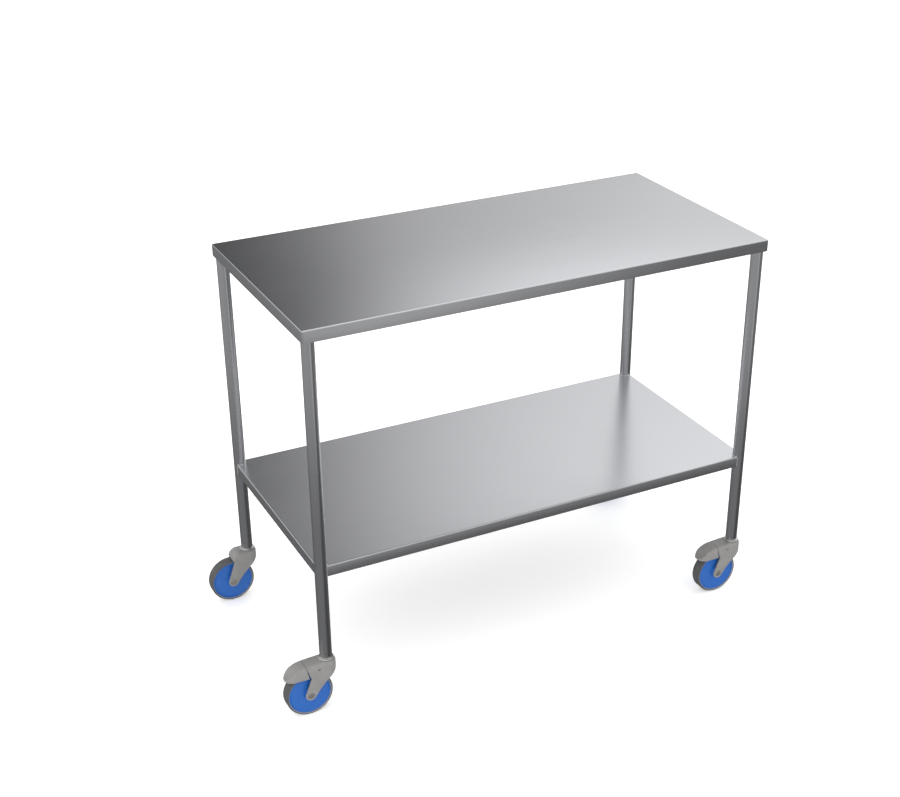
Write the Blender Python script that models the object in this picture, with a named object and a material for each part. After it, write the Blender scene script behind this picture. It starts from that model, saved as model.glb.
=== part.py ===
"""Two-shelf surgical trolley: two folded steel sheets on four round legs, carried on four swivel castors.

Metres, +Z up. +X runs along the trolley and -Y is its front. The castors stand as they trail after a push
towards +X, so each wheel lies on the -X side of its leg. The two front castors have a foot brake.
The origin is on the floor, at the middle of the area that the whole trolley covers.
"""

import math

import bmesh
import bpy
from mathutils import Matrix, Vector

# Overall sizes
TOP_LENGTH = 1.024
TOP_WIDTH = 0.502
TOP_HEIGHT = 0.842
SHELF_HEIGHT = 0.338

# Folded sheet steel
SHEET = 0.0012
FOLD_RADIUS = 0.0027
TOP_APRON = 0.025
SHELF_APRON = 0.024
RETURN_LIP = 0.010
SHELF_OVERHANG = 0.0087

# Hat-section stiffener spot-welded under each sheet
HAT_CROWN = 0.060
HAT_HEIGHT = 0.014
HAT_FLANGE = 0.016

# Legs
TUBE_RADIUS = 0.0127
TUBE_WALL = 0.0015
LEG_STANDOFF = 0.0016

# Clearances between pieces that seat on each other
SEAT_GAP = 0.0003

# Wheels
WHEEL_RADIUS = 0.050
TYRE_WIDTH = 0.025
TYRE_DEPTH = 0.0048
TYRE_SHOULDER = 0.0035
KEY_DEPTH = 0.0015
KEY_WIDTH = 0.009
DISC_RECESS = 0.0024
RIM_LIP = 0.0018
HUB_RADIUS = 0.0115
BUSH_RADIUS = 0.0070
AXLE_RADIUS = 0.0040
AXLE_HEAD_RADIUS = 0.0068
AXLE_HEAD = 0.0016

# Fork
TRAIL = 0.0425
FORK_HALF_WIDTH = 0.019
FORK_WALL = 0.0032
FORK_SHOULDER = 0.007
CROWN_RISE = 0.020
AXLE_END_RADIUS = 0.0112
LEADING_EDGE_LEAN = math.radians(56)
LEADING_EDGE_PULL = 0.050
NOSE_DROP = 0.016
NOSE_PULL = 0.012
TRAILING_EDGE_LEAN = math.radians(69)
DOME_LENGTH = 0.018
DOME_SET_BACK = 0.0025
DOME_DROP = 0.020
DOME_LIP_RISE = 0.0035
THROAT_RADIUS = 0.005

# Swivel head
HEAD_RADIUS = 0.0162
BEARING_RADIUS = 0.0120
BEARING_WIDTH = 0.0080
COLLAR_RADIUS = 0.0160
COLLAR_HEIGHT = 0.0024
PIVOT_RADIUS = 0.0040
STEM_RADIUS = 0.0055
STEM_NUT_RADIUS = 0.0075
STEM_NUT_HEIGHT = 0.0050
EXPANDER_LENGTH = 0.042
WHEEL_CLEARANCE = 0.002

# Foot brake
BRAKE_ANGLE = math.radians(8)
SEAM_SET_BACK = 0.006
SEAM_DROP = 0.002
SEAM_LEAN = math.radians(74)
SEAM_TOP_GAP = 0.0006
SEAM_FOOT_GAP = 0.0030
SKIRT_LAP = 0.0085
PEDAL_WALL = 0.0022
PEDAL_FALL = 0.022
TOE_LENGTH = 0.018
TOE_SHORT_OF_TYRE = 0.0005
ARM_THICKNESS = 0.0040
ARM_SIDE_GAP = 0.0014
ARM_DEPTH = 0.0072
ARM_ROOT = 0.010
BOSS_RADIUS = 0.0050
PIN_RADIUS = 0.0025
WEB_THICKNESS = 0.0032
SHOE_LENGTH = 0.014
SHOE_HALF_WIDTH = 0.0085
SHOE_STUD_RADIUS = 0.0030

# Facet counts of round forms
TYRE_FACETS = 24
TUBE_FACETS = 20
SMALL_FACETS = 12
FOLD_FACETS = 3
CURVE_FACETS = 6
NOSE_FACETS = 5

CORNERS = {
    "front_left": (-1, -1),
    "front_right": (1, -1),
    "rear_left": (-1, 1),
    "rear_right": (1, 1),
}
BRAKED = ("front_left", "front_right")

# Places that follow from the sizes above
LEG_INSET = SHEET + LEG_STANDOFF + TUBE_RADIUS
LEG_X = TOP_LENGTH / 2 - LEG_INSET
LEG_Y = TOP_WIDTH / 2 - LEG_INSET
WHEEL_TOP = 2 * WHEEL_RADIUS
CROWN_TOP = WHEEL_TOP + CROWN_RISE
LEG_BOTTOM = CROWN_TOP + COLLAR_HEIGHT + 2 * SEAT_GAP
CHEEK_INSIDE = FORK_HALF_WIDTH - FORK_WALL
SEAM_X = -(TRAIL + SEAM_SET_BACK)
SEAM_TOP = CROWN_TOP - SEAM_DROP
SKIRT_BOTTOM = WHEEL_TOP - SKIRT_LAP
TOE_X = -(TRAIL + WHEEL_RADIUS - TOE_SHORT_OF_TYRE)
PIN_X = -(HEAD_RADIUS + BOSS_RADIUS + 4 * SEAT_GAP)
ROOF_UNDERSIDE = SEAM_TOP - FORK_WALL
ARM_TOP = ROOF_UNDERSIDE - 8 * SEAT_GAP
PIN_Z = ARM_TOP - BOSS_RADIUS + SEAT_GAP
REACH_BEHIND = max(TRAIL + WHEEL_RADIUS - LEG_INSET, 0.0)
REACH_AHEAD = max(FORK_HALF_WIDTH - LEG_INSET, 0.0)
TABLE_X = (REACH_BEHIND - REACH_AHEAD) / 2


def clear_scene():
    for thing in list(bpy.data.objects):
        bpy.data.objects.remove(thing, do_unlink=True)


def material(name, colour, roughness, metallic):
    made = bpy.data.materials.new(name)
    made.use_nodes = True
    shader = made.node_tree.nodes["Principled BSDF"]
    shader.inputs["Base Color"].default_value = (*colour, 1.0)
    shader.inputs["Roughness"].default_value = roughness
    shader.inputs["Metallic"].default_value = metallic
    made.diffuse_color = (*colour, 1.0)
    return made


def mesh_of(bm):
    """Closes seams, turns every face outwards and hands the mesh over."""
    bmesh.ops.remove_doubles(bm, verts=bm.verts, dist=1e-6)
    bmesh.ops.recalc_face_normals(bm, faces=bm.faces)
    mesh = bpy.data.meshes.new("piece")
    bm.to_mesh(mesh)
    bm.free()
    return mesh


def turned(profile, facets, axis="Z"):
    """A turned piece. The profile lists (radius, height) round its section.

    Flats, not corners, touch the true circle, so a wheel stands on a flat and a bore keeps its clearance.
    """
    grow = 1 / math.cos(math.pi / facets)
    bm = bmesh.new()
    points = [bm.verts.new((radius * grow, 0, height)) for radius, height in profile]
    edges = []
    for first, second in zip(points, points[1:] + points[:1]):
        if first.co.x > 0 or second.co.x > 0:
            edges.append(bm.edges.new((first, second)))
    bmesh.ops.spin(
        bm, geom=points + edges, cent=(0, 0, 0), axis=(0, 0, 1), angle=2 * math.pi, steps=facets, use_merge=True
    )
    bmesh.ops.rotate(bm, verts=bm.verts, cent=(0, 0, 0), matrix=Matrix.Rotation(math.pi / facets, 3, "Z"))
    if axis == "Y":
        bmesh.ops.rotate(bm, verts=bm.verts, cent=(0, 0, 0), matrix=Matrix.Rotation(math.pi / 2, 3, "X"))
    bmesh.ops.remove_doubles(bm, verts=bm.verts, dist=1e-6)
    bmesh.ops.dissolve_degenerate(bm, edges=bm.edges, dist=1e-6)
    return mesh_of(bm)


def rod(radius, low, high, facets=SMALL_FACETS, axis="Z"):
    return turned([(0, low), (radius, low), (radius, high), (0, high)], facets, axis)


def sleeve(inner, outer, low, high, facets=SMALL_FACETS, axis="Z"):
    return turned([(inner, low), (outer, low), (outer, high), (inner, high)], facets, axis)


def extruded(outline, low, high, axis="Y"):
    """A flat outline drawn out along an axis: (x, z) points along Y, (y, z) along X, (x, y) along Z."""
    place = {
        "X": lambda a, b, c: (c, a, b),
        "Y": lambda a, b, c: (a, c, b),
        "Z": lambda a, b, c: (a, b, c),
    }[axis]
    bm = bmesh.new()
    face = bm.faces.new([bm.verts.new(place(a, b, low)) for a, b in outline])
    grown = bmesh.ops.extrude_face_region(bm, geom=[face])["geom"]
    moved = [item for item in grown if isinstance(item, bmesh.types.BMVert)]
    bmesh.ops.translate(bm, verts=moved, vec=Vector(place(0, 0, high - low)))
    return mesh_of(bm)


def moved(mesh, offset):
    mesh.transform(Matrix.Translation(Vector(offset)))
    return mesh


def evaluated(thing):
    """The finished mesh of an object with modifiers. The object itself is removed."""
    graph = bpy.context.evaluated_depsgraph_get()
    mesh = bpy.data.meshes.new_from_object(thing.evaluated_get(graph))
    bpy.data.objects.remove(thing, do_unlink=True)
    return mesh


def temporary(mesh):
    thing = bpy.data.objects.new("temporary", mesh)
    bpy.context.scene.collection.objects.link(thing)
    return thing


def combined(mesh, other, operation):
    """Boolean of two meshes: UNION, DIFFERENCE or INTERSECT."""
    body = temporary(mesh)
    tool = temporary(other)
    tool.hide_render = True
    tool.display_type = "WIRE"
    boolean = body.modifiers.new("boolean", "BOOLEAN")
    boolean.operation = operation
    boolean.object = tool
    boolean.solver = "EXACT"
    mesh = evaluated(body)
    bpy.data.objects.remove(tool, do_unlink=True)
    bm = bmesh.new()
    bm.from_mesh(mesh)
    bmesh.ops.remove_doubles(bm, verts=bm.verts, dist=1e-6)
    bmesh.ops.dissolve_degenerate(bm, edges=bm.edges, dist=1e-6)
    bm.to_mesh(mesh)
    bm.free()
    return mesh


def with_added(mesh, *others):
    for other in others:
        mesh = combined(mesh, other, "UNION")
    return mesh


def with_cut(mesh, *others):
    for other in others:
        mesh = combined(mesh, other, "DIFFERENCE")
    return mesh


def thickened(mesh, wall):
    """Gives an open skin its wall, on the inner side."""
    thing = temporary(mesh)
    solidify = thing.modifiers.new("wall", "SOLIDIFY")
    solidify.thickness = wall
    solidify.offset = -1
    solidify.use_even_offset = True
    solidify.use_quality_normals = True
    return evaluated(thing)


def arc(centre, radius, start, end, facets=CURVE_FACETS):
    step = (end - start) / facets
    return [
        (centre[0] + radius * math.cos(start + step * i), centre[1] + radius * math.sin(start + step * i))
        for i in range(facets + 1)
    ]


def bezier(p0, p1, p2, p3, facets=CURVE_FACETS):
    points = []
    for i in range(facets + 1):
        t = i / facets
        weights = ((1 - t) ** 3, 3 * t * (1 - t) ** 2, 3 * t * t * (1 - t), t**3)
        points.append(tuple(sum(w * p[k] for w, p in zip(weights, (p0, p1, p2, p3))) for k in (0, 1)))
    return points


def towards(start, angle, distance):
    return (start[0] + distance * math.cos(angle), start[1] + distance * math.sin(angle))


def piece(name, mesh, finish, parent, smooth=35):
    """One sub-part: its mesh, its finish and the empty that it moves with."""
    thing = bpy.data.objects.new(name, mesh)
    mesh.shade_smooth()
    mesh.set_sharp_from_angle(angle=math.radians(smooth))
    if not mesh.materials:
        mesh.materials.append(finish)
    bpy.context.scene.collection.objects.link(thing)
    thing.parent = parent
    return thing


def empty(name, location, parent=None):
    thing = bpy.data.objects.new(name, None)
    thing.empty_display_size = 0.03
    bpy.context.scene.collection.objects.link(thing)
    thing.location = location
    thing.parent = parent
    return thing


# Sheets and legs


def folded_pan(length, width, apron):
    """A sheet with its four edges folded down and a narrow lip returned inwards. Its upper face is at z = 0."""
    bm = bmesh.new()
    size = Matrix.Diagonal((length, width, apron, 1))
    bmesh.ops.create_cube(bm, size=1, matrix=Matrix.Translation((0, 0, -apron / 2)) @ size)
    middle = -apron / 2
    folds = [edge for edge in bm.edges if sum(vert.co.z for vert in edge.verts) > 2 * middle - apron / 2]
    bmesh.ops.bevel(
        bm, geom=folds, offset=FOLD_RADIUS, offset_type="OFFSET", segments=FOLD_FACETS, profile=0.5, affect="EDGES"
    )
    floor = [face for face in bm.faces if all(abs(vert.co.z + apron) < 1e-6 for vert in face.verts)]
    bmesh.ops.delete(bm, geom=floor, context="FACES_ONLY")
    rim = [edge for edge in bm.edges if edge.is_boundary]
    grown = bmesh.ops.extrude_edge_only(bm, edges=rim)["geom"]
    for vert in grown:
        if isinstance(vert, bmesh.types.BMVert):
            vert.co.x -= math.copysign(RETURN_LIP, vert.co.x)
            vert.co.y -= math.copysign(RETURN_LIP, vert.co.y)
    bmesh.ops.recalc_face_normals(bm, faces=bm.faces)
    if sum(face.normal.z * face.calc_area() for face in bm.faces if face.calc_center_median().z > -SHEET) < 0:
        bmesh.ops.reverse_faces(bm, faces=bm.faces)
    mesh = bpy.data.meshes.new("pan")
    bm.to_mesh(mesh)
    bm.free()
    return thickened(mesh, SHEET)


def leg_notches(low, high):
    """Cutters for the four places where a leg passes a sheet."""
    return [
        moved(rod(TUBE_RADIUS + SEAT_GAP, low, high, TUBE_FACETS), (side_x * LEG_X, side_y * LEG_Y, 0))
        for side_x, side_y in CORNERS.values()
    ]


def top_sheet():
    above_lip = -TOP_APRON + 2 * SHEET
    return with_cut(folded_pan(TOP_LENGTH, TOP_WIDTH, TOP_APRON), *leg_notches(-2 * TOP_APRON, above_lip))


def shelf_sheet():
    length = 2 * (LEG_X + SHELF_OVERHANG)
    width = 2 * (LEG_Y + SHELF_OVERHANG)
    return with_cut(folded_pan(length, width, SHELF_APRON), *leg_notches(-2 * SHELF_APRON, SHELF_APRON))


def hat_stiffener(sheet_length):
    """A hat section under a sheet, between its end folds, with its flanges up against it at z = 0."""
    reach = sheet_length / 2 - FOLD_RADIUS - SEAT_GAP
    half = HAT_CROWN / 2
    outline = [
        (-half - HAT_FLANGE, 0),
        (-half, 0),
        (-half, -HAT_HEIGHT + SHEET),
        (half, -HAT_HEIGHT + SHEET),
        (half, 0),
        (half + HAT_FLANGE, 0),
        (half + HAT_FLANGE, -SHEET),
        (half + SHEET, -SHEET),
        (half + SHEET, -HAT_HEIGHT),
        (-half - SHEET, -HAT_HEIGHT),
        (-half - SHEET, -SHEET),
        (-half - HAT_FLANGE, -SHEET),
    ]
    return extruded(outline, -reach, reach, "X")


def leg():
    """A round tube from its castor up to the underside of the top, clear of the aprons' folds."""
    top = TOP_HEIGHT - SHEET - SEAT_GAP
    return sleeve(TUBE_RADIUS - TUBE_WALL, TUBE_RADIUS, LEG_BOTTOM, top, TUBE_FACETS)


# Wheel, turned about the Y axis through its own centre


def tyre():
    """A ring with rounded shoulders and a key that sits in the wheel centre's groove."""
    half = TYRE_WIDTH / 2
    bed = WHEEL_RADIUS - TYRE_DEPTH
    shoulder = (WHEEL_RADIUS - TYRE_SHOULDER, half - TYRE_SHOULDER)
    upper = [(bed, KEY_WIDTH / 2), (bed, half)] + arc(shoulder, TYRE_SHOULDER, math.pi / 2, 0, FOLD_FACETS - 1)
    lower = [(radius, -height) for radius, height in reversed(upper)]
    return turned([(bed - KEY_DEPTH, 0)] + upper + lower, TYRE_FACETS, "Y")


def wheel_centre():
    """Moulded centre: a grooved rim, a thin dished disc and a hub that holds the bush."""
    half = TYRE_WIDTH / 2
    rim = WHEEL_RADIUS - TYRE_DEPTH - SEAT_GAP
    face = half - RIM_LIP
    hub = CHEEK_INSIDE - 3 * SEAT_GAP
    upper = [
        (BUSH_RADIUS + SEAT_GAP, hub),
        (HUB_RADIUS, hub),
        (HUB_RADIUS + RIM_LIP / 2, face - DISC_RECESS),
        (rim - 2 * RIM_LIP, face - DISC_RECESS),
        (rim - RIM_LIP, face),
        (rim, face),
        (rim, KEY_WIDTH / 2),
    ]
    lower = [(radius, -height) for radius, height in reversed(upper)]
    return turned(upper + [(rim - KEY_DEPTH, 0)] + lower, TYRE_FACETS, "Y")


def hub_bush():
    reach = CHEEK_INSIDE - SEAT_GAP
    return sleeve(AXLE_RADIUS + SEAT_GAP, BUSH_RADIUS, -reach, reach, axis="Y")


def axle():
    """A bolt whose low head is let into the front cheek, flush with it."""
    seat = FORK_HALF_WIDTH - AXLE_HEAD
    profile = [
        (0, -FORK_HALF_WIDTH),
        (AXLE_HEAD_RADIUS, -FORK_HALF_WIDTH),
        (AXLE_HEAD_RADIUS, -seat),
        (AXLE_RADIUS, -seat),
        (AXLE_RADIUS, FORK_HALF_WIDTH),
        (0, FORK_HALF_WIDTH),
    ]
    return turned([(radius, -height) for radius, height in profile], SMALL_FACETS, "Y")


def axle_nut():
    """A thin nut let into the rear cheek."""
    body = turned(
        [
            (0, FORK_HALF_WIDTH - AXLE_HEAD),
            (AXLE_HEAD_RADIUS * math.cos(math.pi / 6), FORK_HALF_WIDTH - AXLE_HEAD),
            (AXLE_HEAD_RADIUS * math.cos(math.pi / 6), FORK_HALF_WIDTH),
            (0, FORK_HALF_WIDTH),
        ],
        6,
    )
    body = with_cut(body, rod(AXLE_RADIUS + SEAT_GAP, 0, 2 * FORK_HALF_WIDTH))
    body.transform(Matrix.Rotation(-math.pi / 2, 4, "X"))
    return body


# Fork, in the frame of its castor: the swivel axis at x = y = 0 and the floor at z = 0


def hood(outline, top_at, bottom, shoulder):
    """A closed hood: upright walls along a plan outline, rounded over into a roof.

    The outline runs from the closed tip on the centre line along the +Y side to the flat end, as points with
    their outward direction: (x, y, out_x, out_y). The -Y side mirrors it.
    """
    bm = bmesh.new()
    rows = []
    for x, y, out_x, out_y in outline:
        top = top_at(x)
        radius = min(shoulder, 0.8 * (top - bottom))
        levels = [(0, bottom), (0, top - radius)]
        for i in range(1, FOLD_FACETS + 1):
            turn = math.pi / 2 * i / FOLD_FACETS
            levels.append((radius * (1 - math.cos(turn)), top - radius + radius * math.sin(turn)))
        far = [bm.verts.new((x - inset * out_x, y - inset * out_y, z)) for inset, z in levels]
        near = [bm.verts.new((x - inset * out_x, -y + inset * out_y, z)) for inset, z in levels]
        rows.append(far + near[::-1])
    for row, following in zip(rows, rows[1:]):
        for i in range(len(row)):
            beside = (i + 1) % len(row)
            bm.faces.new((row[i], row[beside], following[beside], following[i]))
    bm.faces.new(rows[-1])
    bmesh.ops.remove_doubles(bm, verts=bm.verts, dist=1e-6)
    bmesh.ops.dissolve_degenerate(bm, edges=bm.edges, dist=1e-6)
    return mesh_of(bm)


def nose_outline(half_width, rear_stations):
    """Plan of the fork: a round nose about the swivel axis and straight cheeks behind it."""
    quarter = [
        (half_width * math.cos(turn), half_width * math.sin(turn), math.cos(turn), math.sin(turn))
        for turn in (math.pi / 2 * i / NOSE_FACETS for i in range(NOSE_FACETS + 1))
    ]
    return quarter + [(x, half_width, 0, 1) for x in rear_stations]


def dome_start():
    return -(TRAIL - DOME_SET_BACK - DOME_LENGTH)


def plain_roof(x, wall):
    """Roof of the fork without a brake: level, then domed down behind. The hollow's roof stays clear of the tyre."""
    lowest = WHEEL_TOP + WHEEL_CLEARANCE if wall else CROWN_TOP - DOME_DROP
    along = min(max((dome_start() - x) / (DOME_LENGTH - wall), 0), 1)
    return lowest + (CROWN_TOP - wall - lowest) * math.sqrt(1 - along * along)


def braked_roof(x, wall):
    """Roof of the braked fork: level, then falling a little to meet the pedal."""
    along = max(x / SEAM_X, 0)
    return CROWN_TOP - wall - SEAM_DROP * along * along


def fork_hood(braked, wall):
    """The fork's outer form or, with its wall's thickness, the hollow inside it."""
    behind = -TRAIL - 2 * AXLE_END_RADIUS - wall
    below = WHEEL_RADIUS - 2 * AXLE_END_RADIUS - wall
    if braked:
        roof = braked_roof
        stations = [behind * i / 3 for i in range(1, 4)]
    else:
        roof = plain_roof
        turns = [math.pi / 2 * i / CURVE_FACETS for i in range(CURVE_FACETS + 1)]
        stations = [dome_start() / 2]
        stations += [dome_start() - (DOME_LENGTH - wall) * math.sin(turn) for turn in turns]
        stations.append(behind)
    outline = nose_outline(FORK_HALF_WIDTH - wall, stations)
    return hood(outline, lambda x: roof(x, wall), below, FORK_SHOULDER - wall)


def trailing_edge_x(z):
    """Where the cheek's straight trailing edge is at a height."""
    lean = TRAILING_EDGE_LEAN
    start_x = -TRAIL - AXLE_END_RADIUS * math.sin(lean)
    start_z = WHEEL_RADIUS + AXLE_END_RADIUS * math.cos(lean)
    return start_x + (z - start_z) / math.tan(lean)


def seam_x(z):
    """The braked fork's rear edge, which leans forward towards its foot."""
    return SEAM_X + (SEAM_TOP - z) / math.tan(SEAM_LEAN)


def cheek_outline(braked):
    """Side view of the fork: the round axle end, the leading edge up to the nose and the rear edge."""
    axle_centre = (-TRAIL, WHEEL_RADIUS)
    margin = FORK_HALF_WIDTH
    end = arc(
        axle_centre,
        AXLE_END_RADIUS,
        math.pi / 2 + TRAILING_EDGE_LEAN,
        3 * math.pi / 2 + LEADING_EDGE_LEAN,
        CURVE_FACETS + 2,
    )
    nose = (FORK_HALF_WIDTH + SEAT_GAP, CROWN_TOP - NOSE_DROP)
    leading = bezier(
        end[-1], towards(end[-1], LEADING_EDGE_LEAN, LEADING_EDGE_PULL), (nose[0], nose[1] - NOSE_PULL), nose
    )
    above = [(nose[0], CROWN_TOP + margin)]
    throat_z = WHEEL_TOP - THROAT_RADIUS
    if braked:
        foot = seam_x(WHEEL_TOP - THROAT_RADIUS)
        rear = [
            (seam_x(CROWN_TOP + margin), CROWN_TOP + margin),
            (foot, throat_z),
            (trailing_edge_x(throat_z - THROAT_RADIUS), throat_z - THROAT_RADIUS),
        ]
    else:
        tip = CROWN_TOP - DOME_DROP + DOME_LIP_RISE
        throat = (trailing_edge_x(throat_z) - THROAT_RADIUS, tip)
        rear = [(-2 * TRAIL, CROWN_TOP + margin), (-2 * TRAIL, tip)]
        rear += arc((throat[0], throat[1] - THROAT_RADIUS), THROAT_RADIUS, math.pi / 2, 0, FOLD_FACETS)
    return end + leading[1:] + above + rear


def fork(braked):
    """The moulded housing: crown, nose and two cheeks, with the bores that carry the swivel and the axle."""
    head = rod(HEAD_RADIUS, head_bottom(), CROWN_TOP)
    hollow = with_cut(fork_hood(braked, FORK_WALL), head)
    side_view = extruded(cheek_outline(braked), -2 * FORK_HALF_WIDTH, 2 * FORK_HALF_WIDTH)
    body = combined(with_cut(fork_hood(braked, 0), hollow), side_view, "INTERSECT")
    bearing_floor = CROWN_TOP - BEARING_WIDTH - SEAT_GAP
    bores = [
        rod(BEARING_RADIUS + SEAT_GAP, bearing_floor, CROWN_TOP + FORK_WALL),
        rod(PIVOT_RADIUS + SEAT_GAP, head_bottom() - FORK_WALL, CROWN_TOP),
        axle_bore(),
    ]
    if braked:
        across = rod(PIN_RADIUS + SEAT_GAP, -2 * FORK_HALF_WIDTH, 2 * FORK_HALF_WIDTH, axis="Y")
        bores.append(moved(across, (PIN_X, 0, PIN_Z)))
    return with_cut(body, *bores)


def axle_bore():
    """The axle's hole through both cheeks, with a shallow recess outside for its head and its nut."""
    seat = FORK_HALF_WIDTH - AXLE_HEAD - SEAT_GAP
    beyond = 2 * FORK_HALF_WIDTH
    hole = AXLE_RADIUS + SEAT_GAP
    recess = AXLE_HEAD_RADIUS + SEAT_GAP
    profile = [(0, -beyond), (recess, -beyond), (recess, -seat), (hole, -seat)]
    profile += [(hole, seat), (recess, seat), (recess, beyond), (0, beyond)]
    return moved(turned(profile, SMALL_FACETS, "Y"), (-TRAIL, 0, WHEEL_RADIUS))


def tyre_height(x):
    """How high the tyre reaches at a distance along the castor, seen from the side."""
    off = x + TRAIL
    return WHEEL_RADIUS + math.sqrt(max(WHEEL_RADIUS**2 - off**2, 0))


def head_bottom():
    """The swivel head ends just clear of the tyre."""
    return tyre_height(-HEAD_RADIUS) + WHEEL_CLEARANCE


# Swivel head, about the castor's own upright axis


def swivel_bearing():
    """Ball bearing as one ring, with a groove between its inner and outer race on its open face."""
    low = CROWN_TOP - BEARING_WIDTH
    inner = PIVOT_RADIUS + SEAT_GAP
    race = (BEARING_RADIUS - inner) / 3
    dip = BEARING_WIDTH / 10
    profile = [
        (inner, low),
        (inner, CROWN_TOP),
        (inner + race, CROWN_TOP),
        (inner + race, CROWN_TOP - dip),
        (BEARING_RADIUS - race, CROWN_TOP - dip),
        (BEARING_RADIUS - race, CROWN_TOP),
        (BEARING_RADIUS, CROWN_TOP),
        (BEARING_RADIUS, low),
    ]
    return turned(profile, SMALL_FACETS)


def swivel_collar():
    """Dust collar between the leg's end and the crown, with its upper edge bevelled."""
    low = CROWN_TOP + SEAT_GAP
    high = low + COLLAR_HEIGHT
    bevel = COLLAR_HEIGHT / 3
    profile = [
        (STEM_RADIUS + SEAT_GAP, low),
        (COLLAR_RADIUS, low),
        (COLLAR_RADIUS, high - bevel),
        (COLLAR_RADIUS - bevel, high),
        (STEM_RADIUS + SEAT_GAP, high),
    ]
    return turned(profile, SMALL_FACETS)


def stem_nut_top():
    return head_bottom() - SEAT_GAP


def stem():
    """Pivot pin through the bearing, with a shoulder on it and a thicker shank up into the leg."""
    foot = stem_nut_top() - STEM_NUT_HEIGHT
    shoulder = CROWN_TOP + SEAT_GAP
    head = LEG_BOTTOM + EXPANDER_LENGTH
    cone = STEM_RADIUS / 3
    profile = [
        (0, foot),
        (PIVOT_RADIUS, foot),
        (PIVOT_RADIUS, shoulder),
        (STEM_RADIUS, shoulder),
        (STEM_RADIUS, head),
        (STEM_RADIUS - cone, head + cone),
        (0, head + cone),
    ]
    return turned(profile, SMALL_FACETS)


def stem_nut():
    high = stem_nut_top()
    low = high - STEM_NUT_HEIGHT
    flat = STEM_NUT_RADIUS * math.cos(math.pi / 6)
    body = turned([(0, low), (flat, low), (flat, high), (0, high)], 6)
    return with_cut(body, rod(PIVOT_RADIUS + SEAT_GAP, low - STEM_NUT_HEIGHT, high + STEM_NUT_HEIGHT))


def expander():
    """Ribbed sleeve that grips the stem inside the leg."""
    outer = TUBE_RADIUS - TUBE_WALL - SEAT_GAP
    inner = STEM_RADIUS + SEAT_GAP
    ribs = 2
    pitch = EXPANDER_LENGTH / ribs
    valley = outer - (outer - inner) / 4
    profile = [(inner, LEG_BOTTOM + SEAT_GAP)]
    for i in range(ribs):
        low = LEG_BOTTOM + SEAT_GAP + pitch * i
        profile += [(outer, low), (outer, low + 0.7 * pitch)]
        if i < ribs - 1:
            profile += [(valley, low + 0.7 * pitch), (valley, low + pitch)]
    profile.append((inner, LEG_BOTTOM + SEAT_GAP + (ribs - 0.3) * pitch))
    return turned(profile, TUBE_FACETS)


# Foot brake, in the frame of its castor


def pedal_roof(x):
    """The pedal's back falls from the seam to the toe as a parabola."""
    along = min(max((SEAM_X - x) / (SEAM_X - TOE_X), 0), 1)
    return SEAM_TOP - PEDAL_FALL * along * along


def pedal_front_x(z):
    """The pedal's front edge keeps off the fork, more at its foot, which swings forward when pressed."""
    share = (SEAM_TOP - z) / (SEAM_TOP - SKIRT_BOTTOM)
    return seam_x(z) - SEAM_TOP_GAP - (SEAM_FOOT_GAP - SEAM_TOP_GAP) * share


def pedal_form(wall):
    """The pedal's outer form or, with its wall's thickness, the hollow inside it, open in front and below."""
    half_width = FORK_HALF_WIDTH - wall
    reach = TOE_LENGTH - wall
    outline = []
    for i in range(NOSE_FACETS + 1):
        turn = math.pi / 2 * i / NOSE_FACETS
        out = Vector((-math.cos(turn) / reach, math.sin(turn) / half_width)).normalized()
        x = TOE_X + wall + reach * (1 - math.cos(turn))
        outline.append((x, half_width * math.sin(turn), out.x, out.y))
    front = SEAM_X + 3 * wall
    middle = (outline[-1][0] + SEAM_X) / 2
    outline += [(middle, half_width, 0, 1), (front, half_width, 0, 1)]
    form = hood(outline, lambda x: pedal_roof(x) - wall, SKIRT_BOTTOM - wall, FORK_SHOULDER - wall)
    if wall == 0:
        for vert in form.vertices:
            if abs(vert.co.x - front) < SEAT_GAP / 10:
                vert.co.x = pedal_front_x(vert.co.z)
    return form


def pedal_hood():
    """Shoe-shaped hood over the rear of the wheel, with a round toe and an open front."""
    return with_cut(pedal_form(0), pedal_form(PEDAL_WALL))


def arm_outline():
    """Side view of a pedal arm: a boss round the pin and a bar back into the hood's roof."""
    bar_bottom = ARM_TOP - ARM_DEPTH
    root = SEAM_X - ARM_ROOT
    roof = pedal_roof(root) - PEDAL_WALL / 2
    boss = arc((PIN_X, PIN_Z), BOSS_RADIUS, -math.pi / 2, math.pi / 2)
    dip = boss[0][1]
    return boss + [
        (pedal_front_x(ARM_TOP) - SEAM_TOP_GAP, ARM_TOP),
        (pedal_front_x(SEAM_TOP) - PEDAL_WALL, roof),
        (root, roof),
        (root, bar_bottom),
        (PIN_X - 2 * BOSS_RADIUS, bar_bottom),
        (PIN_X - BOSS_RADIUS / 2, dip),
    ]


def shoe_middle():
    return (-TRAIL - SHOE_LENGTH / 8, ARM_TOP - WEB_THICKNESS)


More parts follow.
